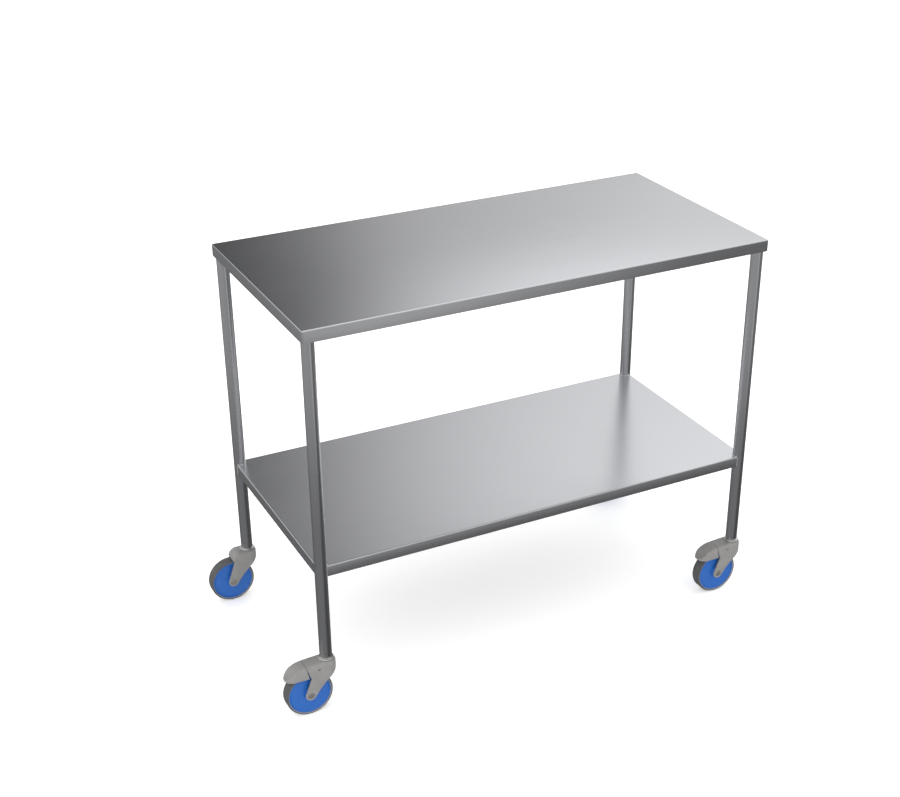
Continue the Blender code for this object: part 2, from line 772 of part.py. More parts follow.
def brake_pedal():
    """Hood, two arms to the pin and a web between the arms that carries the brake shoe."""
    outside = CHEEK_INSIDE - ARM_SIDE_GAP
    inside = outside - ARM_THICKNESS
    arms = [extruded(arm_outline(), -outside, -inside), extruded(arm_outline(), inside, outside)]
    x, z = shoe_middle()
    reach = SHOE_LENGTH / 2 + WEB_THICKNESS / 2
    corners = [(x - reach, z), (x + reach, z), (x + reach, ARM_TOP - SEAT_GAP), (x - reach, ARM_TOP - SEAT_GAP)]
    web = extruded(corners, -inside - ARM_THICKNESS / 2, inside + ARM_THICKNESS / 2)
    body = with_added(pedal_hood(), *arms, web)
    pin_hole = rod(PIN_RADIUS + SEAT_GAP, -FORK_HALF_WIDTH, FORK_HALF_WIDTH, axis="Y")
    stud_hole = rod(SHOE_STUD_RADIUS + SEAT_GAP, z - WEB_THICKNESS, ARM_TOP + WEB_THICKNESS)
    return with_cut(body, moved(pin_hole, (PIN_X, 0, PIN_Z)), moved(stud_hole, (x, 0, 0)))


def brake_pin():
    return rod(PIN_RADIUS, -FORK_HALF_WIDTH, FORK_HALF_WIDTH, axis="Y")


def brake_shoe():
    """Block under the web. Pressed down, its hollow face lies on the tyre's circle with a hair's gap."""
    x, z = shoe_middle()
    pressed = Matrix.Rotation(-BRAKE_ANGLE, 2)
    from_pin = pressed @ Vector((-TRAIL - PIN_X, WHEEL_RADIUS - PIN_Z))
    centre = (PIN_X + from_pin.x, PIN_Z + from_pin.y)
    radius = WHEEL_RADIUS / math.cos(math.pi / TYRE_FACETS) + SEAT_GAP
    half = SHOE_LENGTH / 2
    start = math.acos((x + half - centre[0]) / radius)
    end = math.acos((x - half - centre[0]) / radius)
    top = z - SEAT_GAP
    outline = arc(centre, radius, start, end) + [(x - half, top), (x + half, top)]
    block = extruded(outline, -SHOE_HALF_WIDTH, SHOE_HALF_WIDTH)
    stud = rod(SHOE_STUD_RADIUS, top - WEB_THICKNESS / 2, z + WEB_THICKNESS - SEAT_GAP)
    return with_added(block, moved(stud, (x, 0, 0)))


def build():
    clear_scene()
    steel = material("brushed_stainless", (0.60, 0.60, 0.61), 0.30, 1.0)
    plated = material("plated_steel", (0.55, 0.55, 0.56), 0.35, 1.0)
    housing = material("castor_housing", (0.30, 0.30, 0.30), 0.45, 0.0)
    blue = material("blue_wheel_centre", (0.03, 0.12, 0.45), 0.45, 0.0)
    rubber = material("grey_tyre", (0.05, 0.05, 0.055), 0.70, 0.0)
    nylon = material("nylon", (0.55, 0.54, 0.50), 0.55, 0.0)
    pad = material("brake_pad", (0.03, 0.03, 0.03), 0.80, 0.0)

    trolley = empty("trolley", (TABLE_X, 0, 0))
    top = piece("top_sheet", top_sheet(), steel, trolley)
    top.location.z = TOP_HEIGHT
    shelf = piece("shelf_sheet", shelf_sheet(), steel, trolley)
    shelf.location.z = SHELF_HEIGHT
    top_hat = piece("top_stiffener", hat_stiffener(TOP_LENGTH), steel, trolley)
    top_hat.location.z = TOP_HEIGHT - SHEET - SEAT_GAP
    shelf_hat = piece("shelf_stiffener", hat_stiffener(2 * (LEG_X + SHELF_OVERHANG)), steel, trolley)
    shelf_hat.location.z = SHELF_HEIGHT - SHEET - SEAT_GAP

    fixed = {
        "leg": (leg(), steel),
        "swivel_collar": (swivel_collar(), plated),
        "stem": (stem(), plated),
        "stem_nut": (stem_nut(), plated),
        "expander": (expander(), rubber),
    }
    swivelling = {
        "swivel_bearing": (swivel_bearing(), plated),
        "axle": (axle(), plated),
        "axle_nut": (axle_nut(), plated),
    }
    rolling = {
        "tyre": (tyre(), rubber),
        "wheel_centre": (wheel_centre(), blue),
        "hub_bush": (hub_bush(), nylon),
    }
    forks = {True: fork(True), False: fork(False)}
    pin_place = Vector((PIN_X, 0, PIN_Z))
    pedal = moved(brake_pedal(), -pin_place)
    shoe = moved(brake_shoe(), -pin_place)
    pin = brake_pin()

    for corner, (side_x, side_y) in CORNERS.items():
        braked = corner in BRAKED
        swivel = empty(f"swivel_axis_{corner}", (side_x * LEG_X, side_y * LEG_Y, 0), trolley)
        wheel = empty(f"wheel_axis_{corner}", (-TRAIL, 0, WHEEL_RADIUS), swivel)
        for name, (mesh, finish) in fixed.items():
            piece(f"{name}_{corner}", mesh, finish, swivel)
        piece(f"fork_{corner}", forks[braked], housing, swivel)
        piece(f"swivel_bearing_{corner}", *swivelling["swivel_bearing"], swivel)
        for name in ("axle", "axle_nut"):
            piece(f"{name}_{corner}", *swivelling[name], wheel)
        for name, (mesh, finish) in rolling.items():
            piece(f"{name}_{corner}", mesh, finish, wheel)
        if braked:
            hinge = empty(f"brake_axis_{corner}", pin_place, swivel)
            piece(f"brake_pedal_{corner}", pedal, housing, hinge)
            piece(f"brake_shoe_{corner}", shoe, pad, hinge)
            piece(f"brake_pin_{corner}", pin, plated, hinge)


build()
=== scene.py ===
"""Looks of a two-shelf surgical trolley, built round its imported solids.

Metres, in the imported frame: +X runs along the trolley, -Y is its front and the floor is at z = 0. The pieces
of a castor are built round its own swivel axis at x = y = 0, and a copy of each is then put at every corner.
"""

import math

import bmesh
import bpy
from mathutils import Matrix, Vector


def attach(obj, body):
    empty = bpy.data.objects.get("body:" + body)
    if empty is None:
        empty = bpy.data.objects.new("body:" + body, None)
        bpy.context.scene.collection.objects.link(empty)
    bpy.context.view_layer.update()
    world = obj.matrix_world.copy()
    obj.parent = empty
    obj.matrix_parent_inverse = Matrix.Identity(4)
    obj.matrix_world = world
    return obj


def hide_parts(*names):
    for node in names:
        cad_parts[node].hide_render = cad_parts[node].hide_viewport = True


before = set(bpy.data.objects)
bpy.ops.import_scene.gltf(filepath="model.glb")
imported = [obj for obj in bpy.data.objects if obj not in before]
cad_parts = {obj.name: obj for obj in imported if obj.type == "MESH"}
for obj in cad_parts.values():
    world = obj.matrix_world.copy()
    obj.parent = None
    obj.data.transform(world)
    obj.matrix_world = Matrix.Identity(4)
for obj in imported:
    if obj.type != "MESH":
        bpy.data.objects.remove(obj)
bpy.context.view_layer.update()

# Overall sizes
TOP_LENGTH = 1.024
TOP_WIDTH = 0.502
TOP_HEIGHT = 0.842
SHELF_HEIGHT = 0.338

# Folded sheet steel
SHEET = 0.0012
FOLD_RADIUS = 0.0027
TOP_APRON = 0.025
SHELF_APRON = 0.024
RETURN_LIP = 0.010
SHELF_OVERHANG = 0.0087
HAT_CROWN = 0.060
HAT_HEIGHT = 0.014
HAT_FLANGE = 0.016
HAT_BEND = 0.0009

# Welds
WELD_RADIUS = 0.0010
WELD_STEP = 0.0009
WELD_HALF_TURN = math.radians(84)
SPOT_RADIUS = 0.0030
SPOT_PITCH = 0.060
SPOT_RISE = 0.0003

# Legs
TUBE_RADIUS = 0.0127
TUBE_WALL = 0.0015
LEG_STANDOFF = 0.0016
SEAT_GAP = 0.0003

# Wheels
WHEEL_RADIUS = 0.050
TYRE_WIDTH = 0.025
TYRE_DEPTH = 0.0048
TYRE_SHOULDER = 0.0035
TYRE_LIP = 0.0008
KEY_DEPTH = 0.0015
KEY_WIDTH = 0.009
DISC_RECESS = 0.0024
RIM_LIP = 0.0018
HUB_RADIUS = 0.0115
BUSH_RADIUS = 0.0070
AXLE_RADIUS = 0.0040
AXLE_HEAD_RADIUS = 0.0068
AXLE_HEAD = 0.0016

# Fork
TRAIL = 0.0425
FORK_HALF_WIDTH = 0.019
FORK_WALL = 0.0032
FORK_SHOULDER = 0.007
CROWN_RISE = 0.020
AXLE_END_RADIUS = 0.0112
LEADING_EDGE_LEAN = math.radians(56)
LEADING_EDGE_PULL = 0.050
NOSE_DROP = 0.016
NOSE_PULL = 0.012
TRAILING_EDGE_LEAN = math.radians(69)
DOME_LENGTH = 0.018
DOME_SET_BACK = 0.0025
DOME_DROP = 0.020
DOME_LIP_RISE = 0.0035
THROAT_RADIUS = 0.005
HEAD_RADIUS = 0.0162
BEARING_RADIUS = 0.0120
BEARING_WIDTH = 0.0080
COLLAR_RADIUS = 0.0160
COLLAR_HEIGHT = 0.0024
PIVOT_RADIUS = 0.0040
STEM_RADIUS = 0.0055
WHEEL_CLEARANCE = 0.002

# Foot brake
SEAM_SET_BACK = 0.006
SEAM_DROP = 0.002
SEAM_LEAN = math.radians(74)
SEAM_TOP_GAP = 0.0006
SEAM_FOOT_GAP = 0.0030
SKIRT_LAP = 0.0085
PEDAL_WALL = 0.0022
PEDAL_FALL = 0.022
TOE_LENGTH = 0.018
TOE_SHORT_OF_TYRE = 0.0005
ARM_THICKNESS = 0.0040
ARM_SIDE_GAP = 0.0014
ARM_DEPTH = 0.0072
ARM_ROOT = 0.010
BOSS_RADIUS = 0.0050
PIN_RADIUS = 0.0025
WEB_THICKNESS = 0.0032
SHOE_LENGTH = 0.014
SHOE_STUD_RADIUS = 0.0030

# How finely the round forms are divided
ROUND_STEPS = 96
SMALL_STEPS = 48
FOLD_STEPS = 6
CURVE_STEPS = 20
NOSE_STEPS = 20

# How far corners are rounded, and how near two points are one
EASE = 0.0004
AXLE_EASE = 0.0005
COLLAR_EASE = 0.0003
SAME_PLACE = 1e-6

# From this share of its normal on, a face counts as facing along an axis
FACING = 0.7

CORNERS = {
    "front_left": (-1, -1),
    "front_right": (1, -1),
    "rear_left": (-1, 1),
    "rear_right": (1, 1),
}
BRAKED = ("front_left", "front_right")

# Places that follow from the sizes above
LEG_INSET = SHEET + LEG_STANDOFF + TUBE_RADIUS
LEG_X = TOP_LENGTH / 2 - LEG_INSET
LEG_Y = TOP_WIDTH / 2 - LEG_INSET
WHEEL_TOP = 2 * WHEEL_RADIUS
CROWN_TOP = WHEEL_TOP + CROWN_RISE
LEG_BOTTOM = CROWN_TOP + COLLAR_HEIGHT + 2 * SEAT_GAP
CHEEK_INSIDE = FORK_HALF_WIDTH - FORK_WALL
SEAM_X = -(TRAIL + SEAM_SET_BACK)
SEAM_TOP = CROWN_TOP - SEAM_DROP
SKIRT_BOTTOM = WHEEL_TOP - SKIRT_LAP
TOE_X = -(TRAIL + WHEEL_RADIUS - TOE_SHORT_OF_TYRE)
PIN_X = -(HEAD_RADIUS + BOSS_RADIUS + 4 * SEAT_GAP)
ROOF_UNDERSIDE = SEAM_TOP - FORK_WALL
ARM_TOP = ROOF_UNDERSIDE - 8 * SEAT_GAP
PIN_Z = ARM_TOP - BOSS_RADIUS + SEAT_GAP
REACH_BEHIND = TRAIL + WHEEL_RADIUS - LEG_INSET
REACH_AHEAD = FORK_HALF_WIDTH - LEG_INSET
TABLE_X = (REACH_BEHIND - REACH_AHEAD) / 2


# Camera: solved from the straight edges of the sheets and legs. Its shift was chosen, not solved, so that
# views from other sides hold the whole trolley.


def set_camera():
    seen = bpy.data.objects.new("camera", bpy.data.cameras.new("camera"))
    bpy.context.scene.collection.objects.link(seen)
    seen.location = (-1.32571, -2.59514, 1.92508)
    seen.rotation_euler = (math.radians(90 - 28.2684), 0, math.radians(-27.298))
    seen.data.lens = 60.5534
    seen.data.shift_x = -0.03444
    seen.data.shift_y = 0.06167
    seen.data.clip_start = 0.05
    bpy.context.scene.camera = seen


# Node trees


class Socket:
    """An output in a node tree. Python's arithmetic on it adds Math nodes."""

    def __init__(self, tree, output):
        self.tree = tree
        self.output = output

    def node(self, kind, settings=None, values=None, output=0):
        return add_node(self.tree, kind, settings, values, output)

    def maths(self, operation, first, second=0.0):
        return self.node("ShaderNodeMath", {"operation": operation}, {0: first, 1: second})

    def __add__(self, other):
        return self.maths("ADD", self, other)

    def __radd__(self, other):
        return self.maths("ADD", other, self)

    def __mul__(self, other):
        return self.maths("MULTIPLY", self, other)

    def __truediv__(self, other):
        return self.maths("DIVIDE", self, other)


def add_node(tree, kind, settings=None, values=None, output=0):
    """Adds a node, sets it up, then gives each named or numbered input its value or its link."""
    node = tree.nodes.new(kind)
    for name, value in (settings or {}).items():
        if name == "stops":
            set_stops(node.color_ramp, value)
        else:
            setattr(node, name, value)
    for name, value in (values or {}).items():
        if isinstance(value, Socket):
            tree.links.new(value.output, node.inputs[name])
        else:
            node.inputs[name].default_value = value
    return Socket(tree, node.outputs[output])


def set_stops(ramp, stops):
    """Stops of a colour ramp as (place, grey or colour)."""
    while len(ramp.elements) > 1:
        ramp.elements.remove(ramp.elements[-1])
    for i, (place, value) in enumerate(stops):
        colour = value if isinstance(value, tuple) else (value, value, value)
        element = ramp.elements[0] if i == 0 else ramp.elements.new(place)
        element.position = place
        element.color = (*colour, 1.0)


def blend_colours(tree, factor, first, second):
    """Colour that goes from the first to the second as the factor goes from 0 to 1."""
    pair = [value if isinstance(value, Socket) else (*value, 1.0) for value in (first, second)]
    values = {0: factor, 6: pair[0], 7: pair[1]}
    return add_node(tree, "ShaderNodeMix", {"data_type": "RGBA"}, values, output=2)


def noise(tree, vector, scale, detail=3.0, roughness=0.5):
    sizes = {"Vector": vector, "Scale": scale, "Detail": detail, "Roughness": roughness}
    return add_node(tree, "ShaderNodeTexNoise", None, sizes)


def stretched(tree, vector, amounts):
    return add_node(tree, "ShaderNodeMapping", None, {"Vector": vector, "Scale": amounts})


def between(value, low, high):
    """The value's place between two marks, as 0 to 1."""
    marks = {"Value": value, "From Min": low, "From Max": high}
    return value.node("ShaderNodeMapRange", {"interpolation_type": "SMOOTHSTEP"}, marks)


class Finish:
    """A material: its tree, its shader and the places on a piece that patterns follow."""

    def __init__(self, name, **constants):
        self.material = bpy.data.materials.new(name)
        self.material.use_nodes = True
        self.tree = self.material.node_tree
        self.shader = self.tree.nodes["Principled BSDF"]
        for socket, value in constants.items():
            self.shader.inputs[socket.replace("_", " ")].default_value = value
        self.place = add_node(self.tree, "ShaderNodeTexCoord", output=3)

    def grain_map(self):
        return add_node(self.tree, "ShaderNodeUVMap", {"uv_map": "grain"})

    def feed(self, socket, value):
        self.tree.links.new(value.output, self.shader.inputs[socket])

    def bump(self, height, distance, strength=1.0):
        values = {"Height": height, "Distance": distance, "Strength": strength}
        self.feed("Normal", add_node(self.tree, "ShaderNodeBump", None, values))


def brushed_steel():
    """Stainless sheet and tube: long fine strokes along the grain and faint rubbed patches."""
    finish = Finish("brushed_stainless", Metallic=1.0)
    grain = finish.grain_map()
    fine = noise(finish.tree, stretched(finish.tree, grain, (9.0, 1500.0, 1.0)), 1.0, 4.0, 0.6)
    broad = noise(finish.tree, stretched(finish.tree, grain, (2.5, 130.0, 1.0)), 1.0, 3.0)
    rubbing_and_painted_highlight = noise(finish.tree, finish.place, 7.0, 3.0)
    strokes = fine * 0.6 + broad * 0.4
    tone = between(strokes, 0.25, 0.75) * 0.7 + rubbing_and_painted_highlight * 0.3
    finish.feed("Base Color", blend_colours(finish.tree, tone, (0.585, 0.591, 0.613), (0.625, 0.631, 0.653)))
    finish.feed("Roughness", 0.18 + strokes * 0.07 + rubbing_and_painted_highlight * 0.05)
    finish.bump(fine * 0.7 + broad * 0.3, 0.00001)
    return finish.material


def weld_metal():
    """Cleaned weld metal: a little brighter than the sheet, with fine ripples and straw-tinted in places."""
    finish = Finish("weld_metal", Metallic=1.0)
    cloud = noise(finish.tree, finish.place, 420.0, 3.0)
    finish.feed("Base Color", blend_colours(finish.tree, cloud, (0.66, 0.65, 0.63), (0.76, 0.765, 0.78)))
    finish.feed("Roughness", 0.28 + cloud * 0.16)
    finish.bump(cloud, 0.00003)
    return finish.material


def plated_steel():
    """Zinc-plated turned parts: a satin skin with faint cloudy patches."""
    finish = Finish("plated_steel", Metallic=1.0)
    cloud = noise(finish.tree, finish.place, 260.0, 4.0)
    fine = noise(finish.tree, finish.place, 2600.0, 2.0)
    finish.feed("Base Color", blend_colours(finish.tree, cloud, (0.66, 0.65, 0.63), (0.82, 0.81, 0.78)))
    finish.feed("Roughness", 0.38 + cloud * 0.14)
    finish.bump(fine, 0.00002)
    return finish.material


def moulded_housing():
    """Grey moulded nylon: a fine spark-eroded texture, with a little unevenness in its tone."""
    finish = Finish("castor_housing")
    pebble = noise(finish.tree, finish.place, 2400.0, 2.0)
    cloud = noise(finish.tree, finish.place, 60.0, 3.0)
    finish.feed("Base Color", blend_colours(finish.tree, cloud, (0.205, 0.201, 0.197), (0.250, 0.246, 0.241)))
    finish.feed("Roughness", 0.42 + cloud * 0.12 + pebble * 0.08)
    finish.bump(pebble, 0.00008, 0.6)
    return finish.material


def moulded_blue():
    """Blue moulded wheel centre, slightly glossy, with faint flow marks."""
    finish = Finish("blue_wheel_centre")
    flow = noise(finish.tree, finish.place, 90.0, 4.0, 0.6)
    fine = noise(finish.tree, finish.place, 1800.0, 2.0)
    finish.feed("Base Color", blend_colours(finish.tree, flow, (0.010, 0.100, 0.39), (0.018, 0.130, 0.48)))
    finish.feed("Roughness", 0.36 + flow * 0.12)
    finish.bump(fine, 0.00004, 0.5)
    return finish.material


def tyre_rubber():
    """Grey non-marking rubber: fine matt grain, pale dust in patches and a painted highlight, a light ring at
    its inner edge.
    """
    finish = Finish("grey_tyre")
    dust = noise(finish.tree, finish.place, 110.0, 5.0, 0.65)
    grain = noise(finish.tree, finish.place, 3200.0, 2.0)
    dusty = between(dust, 0.45, 0.75)
    radius = add_node(finish.tree, "ShaderNodeSeparateXYZ", None, {0: finish.grain_map()})
    lip = WHEEL_RADIUS - TYRE_DEPTH + TYRE_LIP
    tread = blend_colours(finish.tree, dusty, (0.070, 0.071, 0.075), (0.100, 0.100, 0.103))
    # Painted highlight: the chamfered lip beside the wheel centre is coloured light grey, as if it caught the
    # light.
    rubbing_and_painted_highlight = between(radius, lip + TYRE_LIP / 2, lip)
    finish.feed("Base Color", blend_colours(finish.tree, rubbing_and_painted_highlight, tread, (0.27, 0.27, 0.28)))
    finish.feed("Roughness", 0.62 + dusty * 0.2)
    finish.bump(grain, 0.00010, 0.7)
    return finish.material


def bush_nylon():
    """Off-white nylon, slightly waxy."""
    finish = Finish("nylon", Subsurface_Weight=0.05)
    cloud = noise(finish.tree, finish.place, 300.0, 3.0)
    finish.feed("Base Color", blend_colours(finish.tree, cloud, (0.50, 0.48, 0.42), (0.62, 0.60, 0.54)))
    finish.feed("Roughness", 0.40 + cloud * 0.12)
    finish.bump(cloud, 0.00003)
    return finish.material


def dark_rubber():
    """Black rubber of the stem's sleeve and the brake shoe."""
    finish = Finish("grip_rubber")
    grain = noise(finish.tree, finish.place, 1500.0, 3.0)
    bloom = noise(finish.tree, finish.place, 160.0, 4.0)
    finish.feed("Base Color", blend_colours(finish.tree, bloom, (0.016, 0.016, 0.016), (0.034, 0.034, 0.033)))
    finish.feed("Roughness", 0.66 + bloom * 0.16)
    finish.bump(grain, 0.00010, 0.8)
    return finish.material


# Shapes


def mesh_of(bm):
    """Closes seams, turns every face outwards and hands the mesh over."""
    bmesh.ops.remove_doubles(bm, verts=bm.verts, dist=SAME_PLACE)
    bmesh.ops.recalc_face_normals(bm, faces=bm.faces)
    mesh = bpy.data.meshes.new("piece")
    bm.to_mesh(mesh)
    bm.free()
    return mesh


def eased(profile, radius, steps=4):
    """The closed outline with each corner rounded, as far as the sides beside it allow."""
    made = []
    for i, corner in enumerate(profile):
        here = Vector(corner)
        before = Vector(profile[i - 1]) - here
        after = Vector(profile[(i + 1) % len(profile)]) - here
        turn = before.angle(after, math.pi)
        if here.x <= 0 or turn > math.radians(170):
            made.append(corner)
            continue
        cut = min(radius / math.tan(turn / 2), 0.45 * before.length, 0.45 * after.length)
        start = here + before.normalized() * cut
        end = here + after.normalized() * cut
        for k in range(steps + 1):
            t = k / steps
            point = start * (1 - t) ** 2 + here * 2 * t * (1 - t) + end * t * t
            made.append((point.x, point.y))
    return made


def turned(profile, steps, axis="Z"):
    """A turned piece. The profile lists (radius, height) round its section."""
    bm = bmesh.new()
    points = [bm.verts.new((radius, 0, height)) for radius, height in profile]
    edges = []
    for first, second in zip(points, points[1:] + points[:1]):
        if first.co.x > 0 or second.co.x > 0:
            edges.append(bm.edges.new((first, second)))
    bmesh.ops.spin(
        bm,
        geom=points + edges,
        cent=(0, 0, 0),
        axis=(0, 0, 1),
        angle=2 * math.pi,
        steps=steps,
        use_merge=True,
    )
    if axis == "Y":
        bmesh.ops.rotate(bm, verts=bm.verts, cent=(0, 0, 0), matrix=Matrix.Rotation(math.pi / 2, 3, "X"))
    bmesh.ops.remove_doubles(bm, verts=bm.verts, dist=SAME_PLACE)
    bmesh.ops.dissolve_degenerate(bm, edges=bm.edges, dist=SAME_PLACE)
    return mesh_of(bm)


def rod(radius, low, high, steps=SMALL_STEPS, axis="Z"):
    return turned([(0, low), (radius, low), (radius, high), (0, high)], steps, axis)


def extruded(outline, low, high, axis="Y"):
    """A flat outline drawn out along an axis: (x, z) points along Y, (y, z) along X."""
    place = {"X": lambda a, b, c: (c, a, b), "Y": lambda a, b, c: (a, c, b)}[axis]
    bm = bmesh.new()
    face = bm.faces.new([bm.verts.new(place(a, b, low)) for a, b in outline])
    grown = bmesh.ops.extrude_face_region(bm, geom=[face])["geom"]
    ends = [item for item in grown if isinstance(item, bmesh.types.BMVert)]
    bmesh.ops.translate(bm, verts=ends, vec=Vector(place(0, 0, high - low)))
    return mesh_of(bm)


def moved(mesh, offset):
    mesh.transform(Matrix.Translation(Vector(offset)))
    return mesh


def temporary(mesh):
    thing = bpy.data.objects.new("temporary", mesh)
    bpy.context.scene.collection.objects.link(thing)
    return thing


def evaluated(thing):
    """The finished mesh of an object with modifiers. The object itself is removed."""
    graph = bpy.context.evaluated_depsgraph_get()
    mesh = bpy.data.meshes.new_from_object(thing.evaluated_get(graph))
    bpy.data.objects.remove(thing, do_unlink=True)
    return mesh


def combined(mesh, other, operation):
    """Boolean of two meshes: UNION, DIFFERENCE or INTERSECT."""
    body = temporary(mesh)
    tool = temporary(other)
    boolean = body.modifiers.new("boolean", "BOOLEAN")
    boolean.operation = operation
    boolean.object = tool
    boolean.solver = "EXACT"
    mesh = evaluated(body)
    bpy.data.objects.remove(tool, do_unlink=True)
    bm = bmesh.new()
    bm.from_mesh(mesh)
    bmesh.ops.remove_doubles(bm, verts=bm.verts, dist=SAME_PLACE)
    bmesh.ops.dissolve_degenerate(bm, edges=bm.edges, dist=SAME_PLACE)
    bm.to_mesh(mesh)
    bm.free()
    return mesh


def with_added(mesh, *others):
    for other in others:
        mesh = combined(mesh, other, "UNION")
    return mesh


def with_cut(mesh, *others):
    for other in others:
        mesh = combined(mesh, other, "DIFFERENCE")
    return mesh


def softened(mesh, width, angle=32, steps=2):
    """Rounds every edge that turns by more than an angle, as a mould or a file leaves it."""
    thing = temporary(mesh)
    bevel = thing.modifiers.new("edges", "BEVEL")
    bevel.width = width
    bevel.segments = steps
    bevel.limit_method = "ANGLE"
    bevel.angle_limit = math.radians(angle)
    bevel.use_clamp_overlap = True
    bevel.miter_outer = "MITER_ARC"
    return evaluated(thing)


def thickened(mesh, wall):
    """Gives an open skin its wall, on the inner side."""
    thing = temporary(mesh)
    solidify = thing.modifiers.new("wall", "SOLIDIFY")
    solidify.thickness = wall
    solidify.offset = -1
    solidify.use_even_offset = True
    solidify.use_quality_normals = True
    return evaluated(thing)


def arc(centre, radius, start, end, steps=CURVE_STEPS):
    step = (end - start) / steps
    return [
        (centre[0] + radius * math.cos(start + step * i), centre[1] + radius * math.sin(start + step * i))
        for i in range(steps + 1)
    ]


def bezier(p0, p1, p2, p3, steps=CURVE_STEPS):
    points = []
    for i in range(steps + 1):
        t = i / steps
        weights = ((1 - t) ** 3, 3 * t * (1 - t) ** 2, 3 * t * t * (1 - t), t**3)
        points.append(tuple(sum(w * p[k] for w, p in zip(weights, (p0, p1, p2, p3))) for k in (0, 1)))
    return points


def towards(start, angle, distance):
    return (start[0] + distance * math.cos(angle), start[1] + distance * math.sin(angle))


def lay_grain(mesh, upright=False):
    """Writes where the brushing strokes run, in metres: along the grain first, then across it.

    On a sheet the strokes run along X and go down the ends with the folds. On a tube they run up it.
    """
    layer = mesh.uv_layers.new(name="grain")
    for face in mesh.polygons:
        normal = face.normal
        for corner in face.loop_indices:
            point = mesh.vertices[mesh.loops[corner].vertex_index].co
            if upright:
                turn = math.atan2(normal.y, normal.x)
                across = TUBE_RADIUS * math.atan2(point.y, point.x) if abs(normal.z) < FACING else point.y
                layer.data[corner].uv = (point.z, across + 0.001 * round(turn))
            elif abs(normal.x) > FACING:
                layer.data[corner].uv = (point.z, point.y)
            else:
                layer.data[corner].uv = (point.x, point.y + point.z)
    return mesh


def show(name, mesh, finish, body, nodes, smooth=32):
    """Puts a finished piece in the scene, in place of the CAD nodes that it stands for."""
    thing = bpy.data.objects.new(name, mesh)
    mesh.materials.clear()
    mesh.materials.append(finish)
    mesh.shade_smooth()
    mesh.set_sharp_from_angle(angle=math.radians(smooth))
    bpy.context.scene.collection.objects.link(thing)
    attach(thing, body)
    if nodes:
        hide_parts(*nodes)


def placed(mesh, corner, offset=(0, 0, 0)):
    """A copy of a castor's mesh, put at its corner."""
    side_x, side_y = CORNERS[corner]
    copy = mesh.copy()
    return moved(copy, (TABLE_X + side_x * LEG_X + offset[0], side_y * LEG_Y + offset[1], offset[2]))


# What repeats: weld ripples along a seam and spot welds along a flange


def repeat_tree(name, finish, stamp, sizes):
    """Geometry Nodes tree that sets a stamp at even steps along a path, each a little larger or smaller.

    The stamp is a node type and its settings, and sizes ties its inputs to the tree's own named inputs.
    """
    tree = bpy.data.node_groups.new(name, "GeometryNodeTree")
    tree.interface.new_socket("Path", in_out="INPUT", socket_type="NodeSocketGeometry")
    for label in ("Step", "Radius", "Height", "Smallest"):
        tree.interface.new_socket(label, in_out="INPUT", socket_type="NodeSocketFloat")
    tree.interface.new_socket("Seed", in_out="INPUT", socket_type="NodeSocketInt")
    tree.interface.new_socket("Copies", in_out="OUTPUT", socket_type="NodeSocketGeometry")

    def given(label):
        return add_node(tree, "NodeGroupInput", output=label)

    kind, settings, fixed = stamp
    values = dict(fixed, **{socket: given(label) for socket, label in sizes.items()})
    shape = add_node(tree, kind, settings, values, output="Mesh")
    curve = add_node(tree, "GeometryNodeMeshToCurve", None, {"Mesh": given("Path")})
    spacing = {"Curve": curve, "Length": given("Step")}
    steps = add_node(tree, "GeometryNodeCurveToPoints", {"mode": "LENGTH"}, spacing)
    uneven = {2: given("Smallest"), 3: 1.0, 8: given("Seed")}
    scale = add_node(tree, "FunctionNodeRandomValue", {"data_type": "FLOAT"}, uneven, output=1)
    copies = add_node(
        tree, "GeometryNodeInstanceOnPoints", None, {"Points": steps, "Instance": shape, "Scale": scale}
    )
    solid = add_node(tree, "GeometryNodeRealizeInstances", None, {"Geometry": copies})
    coated = add_node(tree, "GeometryNodeSetMaterial", None, {"Geometry": solid, "Material": finish})
    end = tree.nodes.new("NodeGroupOutput")
    tree.links.new(coated.output, end.inputs["Copies"])
    return tree


def repeated(tree, paths, **inputs):
    """The plain mesh that a tree makes of a set of paths, each a list of points."""
    bm = bmesh.new()
    for path in paths:
        points = [bm.verts.new(point) for point in path]
        for first, second in zip(points, points[1:]):
            bm.edges.new((first, second))
    mesh = bpy.data.meshes.new("paths")
    bm.to_mesh(mesh)
    bm.free()
    thing = temporary(mesh)
    modifier = thing.modifiers.new("copies", "NODES")
    modifier.node_group = tree
    for item in tree.interface.items_tree:
        if item.in_out == "INPUT" and item.name in inputs:
            modifier[item.identifier] = inputs[item.name]
    return evaluated(thing)


def seam_paths():
    """Where the legs are welded: round the inner half of each tube, on the shelf and under the top."""
    paths = []
    reach = TUBE_RADIUS + WELD_RADIUS / 3
    for side_x, side_y in CORNERS.values():
        inward = math.atan2(-side_y, -side_x)
        place = (TABLE_X + side_x * LEG_X, side_y * LEG_Y)
        for height in (SHELF_HEIGHT, TOP_HEIGHT - SHEET):
            flat = arc(place, reach, inward - WELD_HALF_TURN, inward + WELD_HALF_TURN, 2 * CURVE_STEPS)
            paths.append([(x, y, height) for x, y in flat])
        outside = SHELF_OVERHANG + WELD_RADIUS / 3
        beside = math.sqrt(reach**2 - outside**2)
        low = SHELF_HEIGHT - SHELF_APRON + WELD_RADIUS
        high = SHELF_HEIGHT - FOLD_RADIUS
        for along, across in ((outside, -beside), (-beside, outside)):
            x, y = place[0] + side_x * along, place[1] + side_y * across
            paths.append([(x, y, low), (x, y, high)])
    return paths


